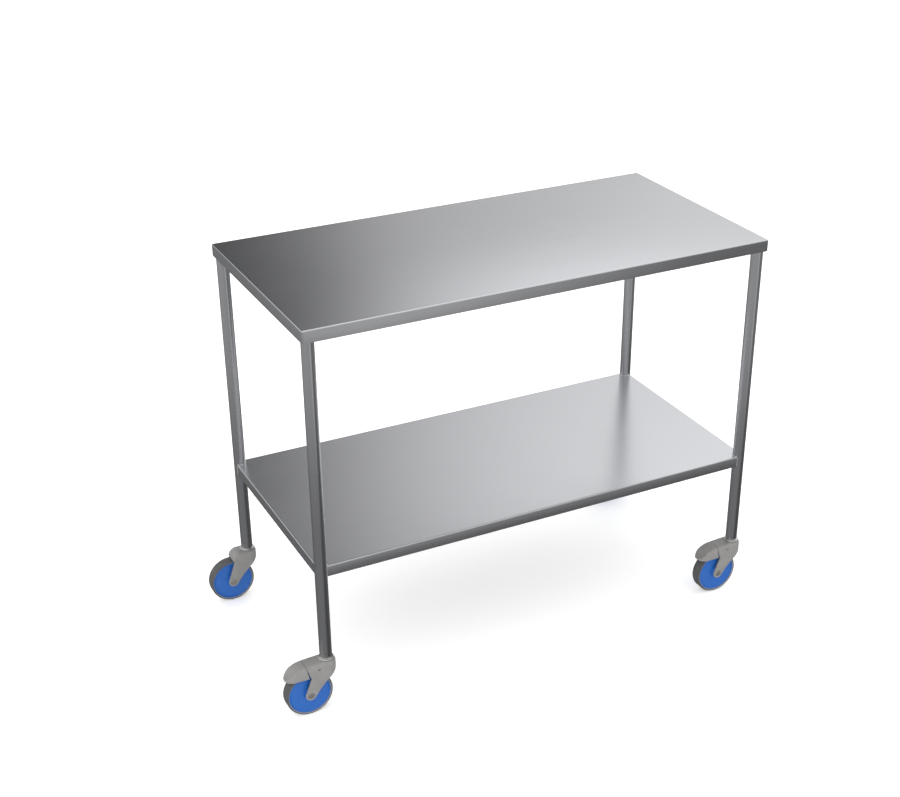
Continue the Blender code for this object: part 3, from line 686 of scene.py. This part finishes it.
def flange_paths():
    """The middle line of each stiffener's flanges, one button's rise below their lower face."""
    paths = []
    across = HAT_CROWN / 2 + SHEET + (HAT_FLANGE - SHEET) / 2
    for length, height in ((TOP_LENGTH, TOP_HEIGHT), (2 * (LEG_X + SHELF_OVERHANG), SHELF_HEIGHT)):
        reach = length / 2 - SPOT_PITCH / 2
        low = height - 2 * SHEET - SEAT_GAP - SPOT_RISE
        for side in (-1, 1):
            paths.append([(TABLE_X - reach, side * across, low), (TABLE_X + reach, side * across, low)])
    return paths


def build_welds(finish):
    ball = ("GeometryNodeMeshIcoSphere", None, {"Subdivisions": 2})
    ripples = repeat_tree("weld_ripples", finish, ball, {"Radius": "Radius"})
    beads = repeated(ripples, seam_paths(), Step=WELD_STEP, Radius=WELD_RADIUS, Smallest=0.82, Seed=3)
    show("weld_beads", beads, finish, "table", [], smooth=60)
    # Narrow end down, and the wide end sunk into the flange
    button = ("GeometryNodeMeshCone", None, {"Vertices": 24, "Radius Bottom": SPOT_RADIUS * 0.6})
    spots = repeat_tree("spot_welds", finish, button, {"Radius Top": "Radius", "Depth": "Height"})
    sizes = {"Step": SPOT_PITCH, "Radius": SPOT_RADIUS, "Height": 2 * SPOT_RISE, "Smallest": 0.94, "Seed": 5}
    marks = repeated(spots, flange_paths(), **sizes)
    show("spot_welds", marks, finish, "table", [], smooth=20)


# Sheets and legs


def folded_pan(length, width, apron):
    """A sheet with its edges folded down and a narrow lip returned inwards. Its upper face is at z = 0."""
    bm = bmesh.new()
    size = Matrix.Diagonal((length, width, apron, 1))
    bmesh.ops.create_cube(bm, size=1, matrix=Matrix.Translation((0, 0, -apron / 2)) @ size)
    folds = [edge for edge in bm.edges if sum(vert.co.z for vert in edge.verts) > -1.5 * apron]
    bmesh.ops.bevel(
        bm,
        geom=folds,
        offset=FOLD_RADIUS,
        offset_type="OFFSET",
        segments=FOLD_STEPS,
        profile=0.5,
        affect="EDGES",
    )
    floor = [face for face in bm.faces if all(abs(vert.co.z + apron) < SAME_PLACE for vert in face.verts)]
    bmesh.ops.delete(bm, geom=floor, context="FACES_ONLY")
    rim = [edge for edge in bm.edges if edge.is_boundary]
    grown = bmesh.ops.extrude_edge_only(bm, edges=rim)["geom"]
    for vert in grown:
        if isinstance(vert, bmesh.types.BMVert):
            vert.co.x -= math.copysign(RETURN_LIP, vert.co.x)
            vert.co.y -= math.copysign(RETURN_LIP, vert.co.y)
    bmesh.ops.recalc_face_normals(bm, faces=bm.faces)
    if sum(face.normal.z * face.calc_area() for face in bm.faces if face.calc_center_median().z > -SHEET) < 0:
        bmesh.ops.reverse_faces(bm, faces=bm.faces)
    mesh = bpy.data.meshes.new("pan")
    bm.to_mesh(mesh)
    bm.free()
    return thickened(mesh, SHEET)


def leg_notches(low, high):
    """Cutters for the four places where a leg passes a sheet."""
    return [
        moved(rod(TUBE_RADIUS + SEAT_GAP, low, high, ROUND_STEPS), (side_x * LEG_X, side_y * LEG_Y, 0))
        for side_x, side_y in CORNERS.values()
    ]


def hat_stiffener(sheet_length):
    """A hat section under a sheet, with rounded bends and its flanges up against the sheet at z = 0."""
    reach = sheet_length / 2 - FOLD_RADIUS - SEAT_GAP
    half = HAT_CROWN / 2
    outline = [
        (-half - HAT_FLANGE, 0),
        (-half, 0),
        (-half, -HAT_HEIGHT + SHEET),
        (half, -HAT_HEIGHT + SHEET),
        (half, 0),
        (half + HAT_FLANGE, 0),
        (half + HAT_FLANGE, -SHEET),
        (half + SHEET, -SHEET),
        (half + SHEET, -HAT_HEIGHT),
        (-half - SHEET, -HAT_HEIGHT),
        (-half - SHEET, -SHEET),
        (-half - HAT_FLANGE, -SHEET),
    ]
    shifted = [(a + TOP_WIDTH, b) for a, b in outline]
    rounded = [(a - TOP_WIDTH, b) for a, b in eased(shifted, HAT_BEND)]
    return extruded(rounded, -reach, reach, "X")


def build_table(steel):
    shelf_length = 2 * (LEG_X + SHELF_OVERHANG)
    shelf_width = 2 * (LEG_Y + SHELF_OVERHANG)
    top = with_cut(
        folded_pan(TOP_LENGTH, TOP_WIDTH, TOP_APRON), *leg_notches(-2 * TOP_APRON, -TOP_APRON + 2 * SHEET)
    )
    shelf = with_cut(
        folded_pan(shelf_length, shelf_width, SHELF_APRON), *leg_notches(-2 * SHELF_APRON, SHELF_APRON)
    )
    pieces = {
        "top_sheet": (top, TOP_HEIGHT),
        "shelf_sheet": (shelf, SHELF_HEIGHT),
        "top_stiffener": (hat_stiffener(TOP_LENGTH), TOP_HEIGHT - SHEET - SEAT_GAP),
        "shelf_stiffener": (hat_stiffener(shelf_length), SHELF_HEIGHT - SHEET - SEAT_GAP),
    }
    for name, (mesh, height) in pieces.items():
        lay_grain(moved(mesh, (TABLE_X, 0, height)))
        show("fine_" + name, mesh, steel, "table", [name], smooth=25)
    top_end = TOP_HEIGHT - SHEET - SEAT_GAP
    bore = TUBE_RADIUS - TUBE_WALL
    section = [(bore, LEG_BOTTOM), (TUBE_RADIUS, LEG_BOTTOM), (TUBE_RADIUS, top_end), (bore, top_end)]
    leg = lay_grain(turned(eased(section, EASE), ROUND_STEPS), upright=True)
    for corner in CORNERS:
        name = f"leg_{corner}"
        show("fine_" + name, placed(leg, corner), steel, "table", [name])


# Wheel, turned about the Y axis through its own centre


def tyre():
    """A ring with rounded shoulders, a chamfered lip beside the wheel centre and a key in its bed."""
    half = TYRE_WIDTH / 2
    bed = WHEEL_RADIUS - TYRE_DEPTH
    shoulder = (WHEEL_RADIUS - TYRE_SHOULDER, half - TYRE_SHOULDER)
    upper = [(bed - KEY_DEPTH, KEY_WIDTH / 6), (bed, KEY_WIDTH / 2)]
    upper += [(bed, half - TYRE_LIP), (bed + TYRE_LIP, half)]
    upper += arc(shoulder, TYRE_SHOULDER, math.pi / 2, 0, 8)
    lower = [(radius, -height) for radius, height in reversed(upper)]
    mesh = turned(upper + lower, ROUND_STEPS, "Y")
    layer = mesh.uv_layers.new(name="grain")
    for loop in mesh.loops:
        point = mesh.vertices[loop.vertex_index].co
        layer.data[loop.index].uv = (math.hypot(point.x, point.z), point.y)
    return mesh


def wheel_centre():
    """Moulded centre: a grooved rim, a thin dished disc and a hub that holds the bush."""
    half = TYRE_WIDTH / 2
    rim = WHEEL_RADIUS - TYRE_DEPTH - SEAT_GAP
    face = half - RIM_LIP
    hub = CHEEK_INSIDE - 3 * SEAT_GAP
    upper = [
        (BUSH_RADIUS + SEAT_GAP, hub),
        (HUB_RADIUS, hub),
        (HUB_RADIUS + RIM_LIP / 2, face - DISC_RECESS),
        (rim - 2 * RIM_LIP, face - DISC_RECESS),
        (rim - RIM_LIP, face),
        (rim, face),
        (rim, KEY_WIDTH / 2),
        (rim - KEY_DEPTH, KEY_WIDTH / 6),
    ]
    lower = [(radius, -height) for radius, height in reversed(upper)]
    return turned(eased(upper + lower, EASE), ROUND_STEPS, "Y")


def hub_bush():
    reach = CHEEK_INSIDE - SEAT_GAP
    bore = AXLE_RADIUS + SEAT_GAP
    section = [(bore, -reach), (BUSH_RADIUS, -reach), (BUSH_RADIUS, reach), (bore, reach)]
    return turned(eased(section, EASE), SMALL_STEPS, "Y")


def axle():
    """A bolt whose low head is let into the front cheek, flush with it."""
    seat = FORK_HALF_WIDTH - AXLE_HEAD
    profile = [
        (0, -FORK_HALF_WIDTH),
        (AXLE_HEAD_RADIUS, -FORK_HALF_WIDTH),
        (AXLE_HEAD_RADIUS, -seat),
        (AXLE_RADIUS, -seat),
        (AXLE_RADIUS, FORK_HALF_WIDTH),
        (0, FORK_HALF_WIDTH),
    ]
    return turned([(radius, -height) for radius, height in eased(profile, AXLE_EASE)], SMALL_STEPS, "Y")


def axle_nut():
    """A thin hexagon nut with a bevelled outer face, let into the rear cheek."""
    flat = AXLE_HEAD_RADIUS * math.cos(math.pi / 6)
    inner = FORK_HALF_WIDTH - AXLE_HEAD
    bevel = AXLE_HEAD / 4
    body = rod(AXLE_HEAD_RADIUS, inner, FORK_HALF_WIDTH, 6)
    cone = [(0, inner), (AXLE_HEAD_RADIUS, inner), (AXLE_HEAD_RADIUS, FORK_HALF_WIDTH - bevel)]
    cone += [(flat, FORK_HALF_WIDTH), (0, FORK_HALF_WIDTH)]
    body = combined(body, turned(cone, SMALL_STEPS), "INTERSECT")
    body = with_cut(body, rod(AXLE_RADIUS + SEAT_GAP, 0, 2 * FORK_HALF_WIDTH))
    body.transform(Matrix.Rotation(-math.pi / 2, 4, "X"))
    return body


# Fork, in the frame of its castor: the swivel axis at x = y = 0 and the floor at z = 0


def hood(outline, top_at, bottom, shoulder):
    """A closed hood: upright walls along a plan outline, rounded over into a roof.

    The outline runs from the closed tip on the centre line along the +Y side to the flat end, as points with
    their outward direction: (x, y, out_x, out_y). The -Y side mirrors it.
    """
    bm = bmesh.new()
    rows = []
    for x, y, out_x, out_y in outline:
        top = top_at(x)
        radius = min(shoulder, 0.8 * (top - bottom))
        levels = [(0, bottom), (0, top - radius)]
        for i in range(1, FOLD_STEPS + 3):
            turn = math.pi / 2 * i / (FOLD_STEPS + 2)
            levels.append((radius * (1 - math.cos(turn)), top - radius + radius * math.sin(turn)))
        far = [bm.verts.new((x - inset * out_x, y - inset * out_y, z)) for inset, z in levels]
        near = [bm.verts.new((x - inset * out_x, -y + inset * out_y, z)) for inset, z in levels]
        rows.append(far + near[::-1])
    for row, following in zip(rows, rows[1:]):
        for i in range(len(row)):
            beside = (i + 1) % len(row)
            bm.faces.new((row[i], row[beside], following[beside], following[i]))
    bm.faces.new(rows[-1])
    bmesh.ops.remove_doubles(bm, verts=bm.verts, dist=SAME_PLACE)
    bmesh.ops.dissolve_degenerate(bm, edges=bm.edges, dist=SAME_PLACE)
    return mesh_of(bm)


def nose_outline(half_width, rear_stations):
    """Plan of the fork: a round nose about the swivel axis and straight cheeks behind it."""
    quarter = [
        (half_width * math.cos(turn), half_width * math.sin(turn), math.cos(turn), math.sin(turn))
        for turn in (math.pi / 2 * i / NOSE_STEPS for i in range(NOSE_STEPS + 1))
    ]
    return quarter + [(x, half_width, 0, 1) for x in rear_stations]


def dome_start():
    return -(TRAIL - DOME_SET_BACK - DOME_LENGTH)


def plain_roof(x, wall):
    """Roof of the fork without a brake: level, then domed down. The hollow's own roof clears the tyre."""
    lowest = WHEEL_TOP + WHEEL_CLEARANCE if wall else CROWN_TOP - DOME_DROP
    along = min(max((dome_start() - x) / (DOME_LENGTH - wall), 0), 1)
    return lowest + (CROWN_TOP - wall - lowest) * math.sqrt(1 - along * along)


def braked_roof(x, wall):
    """Roof of the braked fork: level, then falling a little to meet the pedal."""
    along = max(x / SEAM_X, 0)
    return CROWN_TOP - wall - SEAM_DROP * along * along


def fork_hood(braked, wall):
    """The fork's outer form or, with its wall's thickness, the hollow inside it."""
    behind = -TRAIL - 2 * AXLE_END_RADIUS - wall
    below = WHEEL_RADIUS - 2 * AXLE_END_RADIUS - wall
    if braked:
        roof = braked_roof
        stations = [behind * i / CURVE_STEPS for i in range(1, CURVE_STEPS + 1)]
    else:
        roof = plain_roof
        turns = [math.pi / 2 * i / CURVE_STEPS for i in range(CURVE_STEPS + 1)]
        stations = [dome_start() / 2]
        stations += [dome_start() - (DOME_LENGTH - wall) * math.sin(turn) for turn in turns]
        stations.append(behind)
    outline = nose_outline(FORK_HALF_WIDTH - wall, stations)
    return hood(outline, lambda x: roof(x, wall), below, FORK_SHOULDER - wall)


def trailing_edge_x(z):
    """Where the cheek's straight trailing edge is at a height."""
    lean = TRAILING_EDGE_LEAN
    start_x = -TRAIL - AXLE_END_RADIUS * math.sin(lean)
    start_z = WHEEL_RADIUS + AXLE_END_RADIUS * math.cos(lean)
    return start_x + (z - start_z) / math.tan(lean)


def seam_x(z):
    """The braked fork's rear edge, which leans forward towards its foot."""
    return SEAM_X + (SEAM_TOP - z) / math.tan(SEAM_LEAN)


def cheek_outline(braked):
    """Side view of the fork: the round axle end, the leading edge up to the nose and the rear edge."""
    margin = FORK_HALF_WIDTH
    start = math.pi / 2 + TRAILING_EDGE_LEAN
    stop = 3 * math.pi / 2 + LEADING_EDGE_LEAN
    end = arc((-TRAIL, WHEEL_RADIUS), AXLE_END_RADIUS, start, stop, 2 * CURVE_STEPS)
    nose = (FORK_HALF_WIDTH + SEAT_GAP, CROWN_TOP - NOSE_DROP)
    leading = bezier(
        end[-1], towards(end[-1], LEADING_EDGE_LEAN, LEADING_EDGE_PULL), (nose[0], nose[1] - NOSE_PULL), nose
    )
    above = [(nose[0], CROWN_TOP + margin)]
    throat_z = WHEEL_TOP - THROAT_RADIUS
    if braked:
        rear = [
            (seam_x(CROWN_TOP + margin), CROWN_TOP + margin),
            (seam_x(throat_z), throat_z),
            (trailing_edge_x(throat_z - THROAT_RADIUS), throat_z - THROAT_RADIUS),
        ]
    else:
        tip = CROWN_TOP - DOME_DROP + DOME_LIP_RISE
        throat = (trailing_edge_x(throat_z) - THROAT_RADIUS, tip)
        rear = [(-2 * TRAIL, CROWN_TOP + margin), (-2 * TRAIL, tip)]
        rear += arc((throat[0], throat[1] - THROAT_RADIUS), THROAT_RADIUS, math.pi / 2, 0, FOLD_STEPS)
    return end + leading[1:] + above + rear


def tyre_height(x):
    """How high the tyre reaches at a distance along the castor, seen from the side."""
    off = x + TRAIL
    return WHEEL_RADIUS + math.sqrt(max(WHEEL_RADIUS**2 - off**2, 0))


def head_bottom():
    """The swivel head ends just clear of the tyre."""
    return tyre_height(-HEAD_RADIUS) + WHEEL_CLEARANCE


def axle_bore():
    """The axle's hole through both cheeks, with a shallow recess outside for its head and its nut."""
    seat = FORK_HALF_WIDTH - AXLE_HEAD - SEAT_GAP
    beyond = 2 * FORK_HALF_WIDTH
    hole = AXLE_RADIUS + SEAT_GAP
    recess = AXLE_HEAD_RADIUS + SEAT_GAP
    profile = [(0, -beyond), (recess, -beyond), (recess, -seat), (hole, -seat)]
    profile += [(hole, seat), (recess, seat), (recess, beyond), (0, beyond)]
    return moved(turned(profile, SMALL_STEPS, "Y"), (-TRAIL, 0, WHEEL_RADIUS))


def fork(braked):
    """The moulded housing: crown, nose and two cheeks, with the bores that carry the swivel and the axle."""
    head = rod(HEAD_RADIUS, head_bottom(), CROWN_TOP)
    hollow = with_cut(fork_hood(braked, FORK_WALL), head)
    side_view = extruded(cheek_outline(braked), -2 * FORK_HALF_WIDTH, 2 * FORK_HALF_WIDTH)
    body = combined(with_cut(fork_hood(braked, 0), hollow), side_view, "INTERSECT")
    bearing_floor = CROWN_TOP - BEARING_WIDTH - SEAT_GAP
    bores = [
        rod(BEARING_RADIUS + SEAT_GAP, bearing_floor, CROWN_TOP + FORK_WALL),
        rod(PIVOT_RADIUS + SEAT_GAP, head_bottom() - FORK_WALL, CROWN_TOP),
        axle_bore(),
    ]
    if braked:
        across = rod(PIN_RADIUS + SEAT_GAP, -2 * FORK_HALF_WIDTH, 2 * FORK_HALF_WIDTH, axis="Y")
        bores.append(moved(across, (PIN_X, 0, PIN_Z)))
    return with_cut(body, *bores)


def swivel_collar():
    """Dust collar between the leg's end and the crown, with its upper edge bevelled."""
    low = CROWN_TOP + SEAT_GAP
    high = low + COLLAR_HEIGHT
    bevel = COLLAR_HEIGHT / 3
    profile = [
        (STEM_RADIUS + SEAT_GAP, low),
        (COLLAR_RADIUS, low),
        (COLLAR_RADIUS, high - bevel),
        (COLLAR_RADIUS - bevel, high),
        (STEM_RADIUS + SEAT_GAP, high),
    ]
    return turned(eased(profile, COLLAR_EASE), ROUND_STEPS)


# Foot brake, in the frame of its castor


def pedal_roof(x):
    """The pedal's back falls from the seam to the toe as a parabola."""
    along = min(max((SEAM_X - x) / (SEAM_X - TOE_X), 0), 1)
    return SEAM_TOP - PEDAL_FALL * along * along


def pedal_front_x(z):
    """The pedal's front edge keeps off the fork, more at its foot, which swings forward when pressed."""
    share = (SEAM_TOP - z) / (SEAM_TOP - SKIRT_BOTTOM)
    return seam_x(z) - SEAM_TOP_GAP - (SEAM_FOOT_GAP - SEAM_TOP_GAP) * share


def pedal_form(wall):
    """The pedal's outer form or, with its wall's thickness, the hollow inside it, open in front and below."""
    half_width = FORK_HALF_WIDTH - wall
    reach = TOE_LENGTH - wall
    outline = []
    for i in range(NOSE_STEPS + 1):
        turn = math.pi / 2 * i / NOSE_STEPS
        out = Vector((-math.cos(turn) / reach, math.sin(turn) / half_width)).normalized()
        x = TOE_X + wall + reach * (1 - math.cos(turn))
        outline.append((x, half_width * math.sin(turn), out.x, out.y))
    front = SEAM_X + 3 * wall
    start = outline[-1][0]
    for i in range(1, FOLD_STEPS + 1):
        outline.append((start + (front - start) * i / FOLD_STEPS, half_width, 0, 1))
    form = hood(outline, lambda x: pedal_roof(x) - wall, SKIRT_BOTTOM - wall, FORK_SHOULDER - wall)
    if wall == 0:
        for vert in form.vertices:
            if abs(vert.co.x - front) < SEAT_GAP / 10:
                vert.co.x = pedal_front_x(vert.co.z)
    return form


def arm_outline():
    """Side view of a pedal arm: a boss round the pin and a bar back into the hood's roof."""
    bar_bottom = ARM_TOP - ARM_DEPTH
    root = SEAM_X - ARM_ROOT
    roof = pedal_roof(root) - PEDAL_WALL / 2
    boss = arc((PIN_X, PIN_Z), BOSS_RADIUS, -math.pi / 2, math.pi / 2)
    dip = boss[0][1]
    return boss + [
        (pedal_front_x(ARM_TOP) - SEAM_TOP_GAP, ARM_TOP),
        (pedal_front_x(SEAM_TOP) - PEDAL_WALL, roof),
        (root, roof),
        (root, bar_bottom),
        (PIN_X - 2 * BOSS_RADIUS, bar_bottom),
        (PIN_X - BOSS_RADIUS / 2, dip),
    ]


def brake_pedal():
    """Hood, two arms to the pin and a web between the arms that carries the brake shoe."""
    outside = CHEEK_INSIDE - ARM_SIDE_GAP
    inside = outside - ARM_THICKNESS
    arms = [extruded(arm_outline(), -outside, -inside), extruded(arm_outline(), inside, outside)]
    x, z = (-TRAIL - SHOE_LENGTH / 8, ARM_TOP - WEB_THICKNESS)
    reach = SHOE_LENGTH / 2 + WEB_THICKNESS / 2
    web_top = ARM_TOP - SEAT_GAP
    corners = [(x - reach, z), (x + reach, z), (x + reach, web_top), (x - reach, web_top)]
    web = extruded(corners, -inside - ARM_THICKNESS / 2, inside + ARM_THICKNESS / 2)
    body = with_added(with_cut(pedal_form(0), pedal_form(PEDAL_WALL)), *arms, web)
    pin_hole = rod(PIN_RADIUS + SEAT_GAP, -FORK_HALF_WIDTH, FORK_HALF_WIDTH, axis="Y")
    stud_hole = rod(SHOE_STUD_RADIUS + SEAT_GAP, z - WEB_THICKNESS, ARM_TOP + WEB_THICKNESS)
    return with_cut(body, moved(pin_hole, (PIN_X, 0, PIN_Z)), moved(stud_hole, (x, 0, 0)))


def brake_pin():
    reach = FORK_HALF_WIDTH
    section = [(0, -reach), (PIN_RADIUS, -reach), (PIN_RADIUS, reach), (0, reach)]
    return turned(eased(section, EASE), SMALL_STEPS, "Y")


def build_castors(plated, housing, blue, rubber, nylon):
    wheel_place = (-TRAIL, 0, WHEEL_RADIUS)
    rolling = {
        "tyre": (tyre(), rubber, "grey_tyre"),
        "wheel_centre": (wheel_centre(), blue, "blue_wheel_centre"),
        "hub_bush": (hub_bush(), nylon, "nylon"),
    }
    across = {
        "axle": (axle(), plated, "plated_steel"),
        "axle_nut": (axle_nut(), plated, "plated_steel"),
    }
    forks = {braked: softened(fork(braked), EASE) for braked in (True, False)}
    collar = swivel_collar()
    pedal = softened(brake_pedal(), EASE)
    pin = moved(brake_pin(), (PIN_X, 0, PIN_Z))
    for corner in CORNERS:
        swivel = f"swivel_{corner}"
        for name, (mesh, finish, slot) in rolling.items():
            node = f"{name}_{corner}"
            show("fine_" + node, placed(mesh, corner, wheel_place), finish, f"wheel_{corner}", [node])
        for name, (mesh, finish, slot) in across.items():
            node = f"{name}_{corner}"
            show("fine_" + node, placed(mesh, corner, wheel_place), finish, swivel, [node])
        node = f"fork_{corner}"
        body = placed(forks[corner in BRAKED], corner)
        show("fine_" + node, body, housing, swivel, [node])
        node = f"swivel_collar_{corner}"
        show("fine_" + node, placed(collar, corner), plated, "table", [node])
        if corner in BRAKED:
            node = f"brake_pedal_{corner}"
            show("fine_" + node, placed(pedal, corner), housing, f"brake_{corner}", [node])
            node = f"brake_pin_{corner}"
            show("fine_" + node, placed(pin, corner), plated, swivel, [node])


def dress_carried_over(finishes):
    """Gives the solids that show as they are their finish."""
    for name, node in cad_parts.items():
        if node.hide_render:
            continue
        for key, finish in finishes.items():
            if name.startswith(key):
                for slot in node.material_slots:
                    slot.link = "OBJECT"
                    slot.material = finish


# Studio


# What the steel mirrors: from which height up, as sines of the angle above the floor, and there the
# brightness by direction, in degrees from +Y towards +X
MIRRORED = (
    (
        (-1.0, -1.0),
        (
            (-180, 0.20),
            (-90, 0.20),
            (-20, 0.15),
            (90, 0.12),
            (139, 0.065),
            (152, 0.08),
            (162, 0.14),
            (180, 0.20),
        ),
    ),
    (
        (-0.47, -0.39),
        (
            (-180, 0.36),
            (-150, 0.38),
            (-110, 0.39),
            (-60, 0.39),
            (-35, 0.34),
            (-20, 0.20),
            (60, 0.20),
            (110, 0.22),
            (139, 0.14),
            (141.5, 0.155),
            (143, 0.205),
            (145.5, 0.29),
            (148, 0.345),
            (153, 0.39),
            (157, 0.49),
            (161, 0.66),
            (165, 0.60),
            (172, 0.40),
            (180, 0.36),
        ),
    ),
    (
        (-0.12, 0.06),
        (
            (-180, 0.60),
            (-90, 0.80),
            (-24, 0.80),
            (-8, 0.20),
            (0, 0.03),
            (12, 0.03),
            (17, 0.17),
            (19, 0.29),
            (21, 0.45),
            (23, 0.555),
            (25, 0.59),
            (30, 0.675),
            (33, 0.74),
            (36, 0.83),
            (60, 1.00),
            (120, 0.70),
            (180, 0.60),
        ),
    ),
    (
        (0.37, 0.47),
        (
            (-180, 0.65),
            (-90, 0.85),
            (-24, 0.85),
            (-8, 0.20),
            (0, 0.03),
            (12, 0.03),
            (17, 0.10),
            (20, 0.27),
            (21, 0.41),
            (23, 0.63),
            (25, 0.80),
            (28.5, 1.02),
            (31, 1.15),
            (36, 1.26),
            (60, 1.30),
            (120, 0.80),
            (180, 0.65),
        ),
    ),
    (
        (0.72, 0.88),
        ((-180, 1.20), (180, 1.20)),
    ),
)
BRIGHTEST = 1.5
AMBIENT = 1.3
FLOOR_GLOW = 0.3


def set_studio():
    """White all round for the camera and for soft light, and the mirrored bands for what the steel shows."""
    world = bpy.data.worlds.new("studio")
    bpy.context.scene.world = world
    world.use_nodes = True
    tree = world.node_tree
    background = tree.nodes["Background"]
    direction = add_node(tree, "ShaderNodeTexCoord", output=0)
    parts = [add_node(tree, "ShaderNodeSeparateXYZ", None, {0: direction}, output=i) for i in range(3)]
    azimuth = direction.maths("ARCTAN2", parts[0], parts[1]) / (2 * math.pi) + 0.5
    mirrored = mirrored_band(tree, azimuth, MIRRORED[0][1])
    for (low, high), band in MIRRORED[1:]:
        share = between(parts[2], low, high)
        mirrored = blend_colours(tree, share, mirrored, mirrored_band(tree, azimuth, band))
    ray = add_node(tree, "ShaderNodeLightPath", output="Is Glossy Ray")
    plain = (AMBIENT / BRIGHTEST,) * 3
    tree.links.new(blend_colours(tree, ray, plain, mirrored).output, background.inputs["Color"])
    background.inputs["Strength"].default_value = BRIGHTEST


def mirrored_band(tree, azimuth, band):
    """Brightness by direction, as a share of the brightest."""
    stops = [((degrees + 180) / 360, brightness / BRIGHTEST) for degrees, brightness in band]
    return add_node(tree, "ShaderNodeValToRGB", {"stops": stops}, {0: azimuth})


def set_floor():
    bm = bmesh.new()
    bmesh.ops.create_circle(bm, cap_ends=True, segments=96, radius=12)
    floor = bpy.data.objects.new("floor", mesh_of(bm))
    bpy.context.scene.collection.objects.link(floor)
    white = (0.93, 0.93, 0.93, 1.0)
    glow = {"Emission_Color": white, "Emission_Strength": FLOOR_GLOW}
    finish = Finish("floor_paint", Roughness=0.7, Base_Color=white, **glow)
    floor.data.materials.append(finish.material)
    floor.visible_glossy = False


def add_light(name, place, target, size, power):
    lamp = bpy.data.lights.new(name, "AREA")
    lamp.shape = "RECTANGLE"
    lamp.size = size[0]
    lamp.size_y = size[1]
    lamp.energy = power
    thing = bpy.data.objects.new(name, lamp)
    bpy.context.scene.collection.objects.link(thing)
    thing.location = place
    thing.rotation_euler = (Vector(place) - Vector(target)).to_track_quat("Z", "Y").to_euler()
    thing.visible_glossy = False


def set_lights():
    add_light("window", (-2.6, -2.4, 3.2), (0, 0, 0.4), (2.2, 2.2), 25)


set_camera()
STEEL = brushed_steel()
PLATED = plated_steel()
WELD = weld_metal()
HOUSING = moulded_housing()
BLUE = moulded_blue()
RUBBER = tyre_rubber()
NYLON = bush_nylon()
GRIP = dark_rubber()
build_table(STEEL)
build_welds(WELD)
build_castors(PLATED, HOUSING, BLUE, RUBBER, NYLON)
dress_carried_over({"stem": PLATED, "swivel_bearing": PLATED, "expander": GRIP, "brake_shoe": GRIP})
set_studio()
set_floor()
set_lights()
bpy.context.scene.view_settings.view_transform = "Standard"
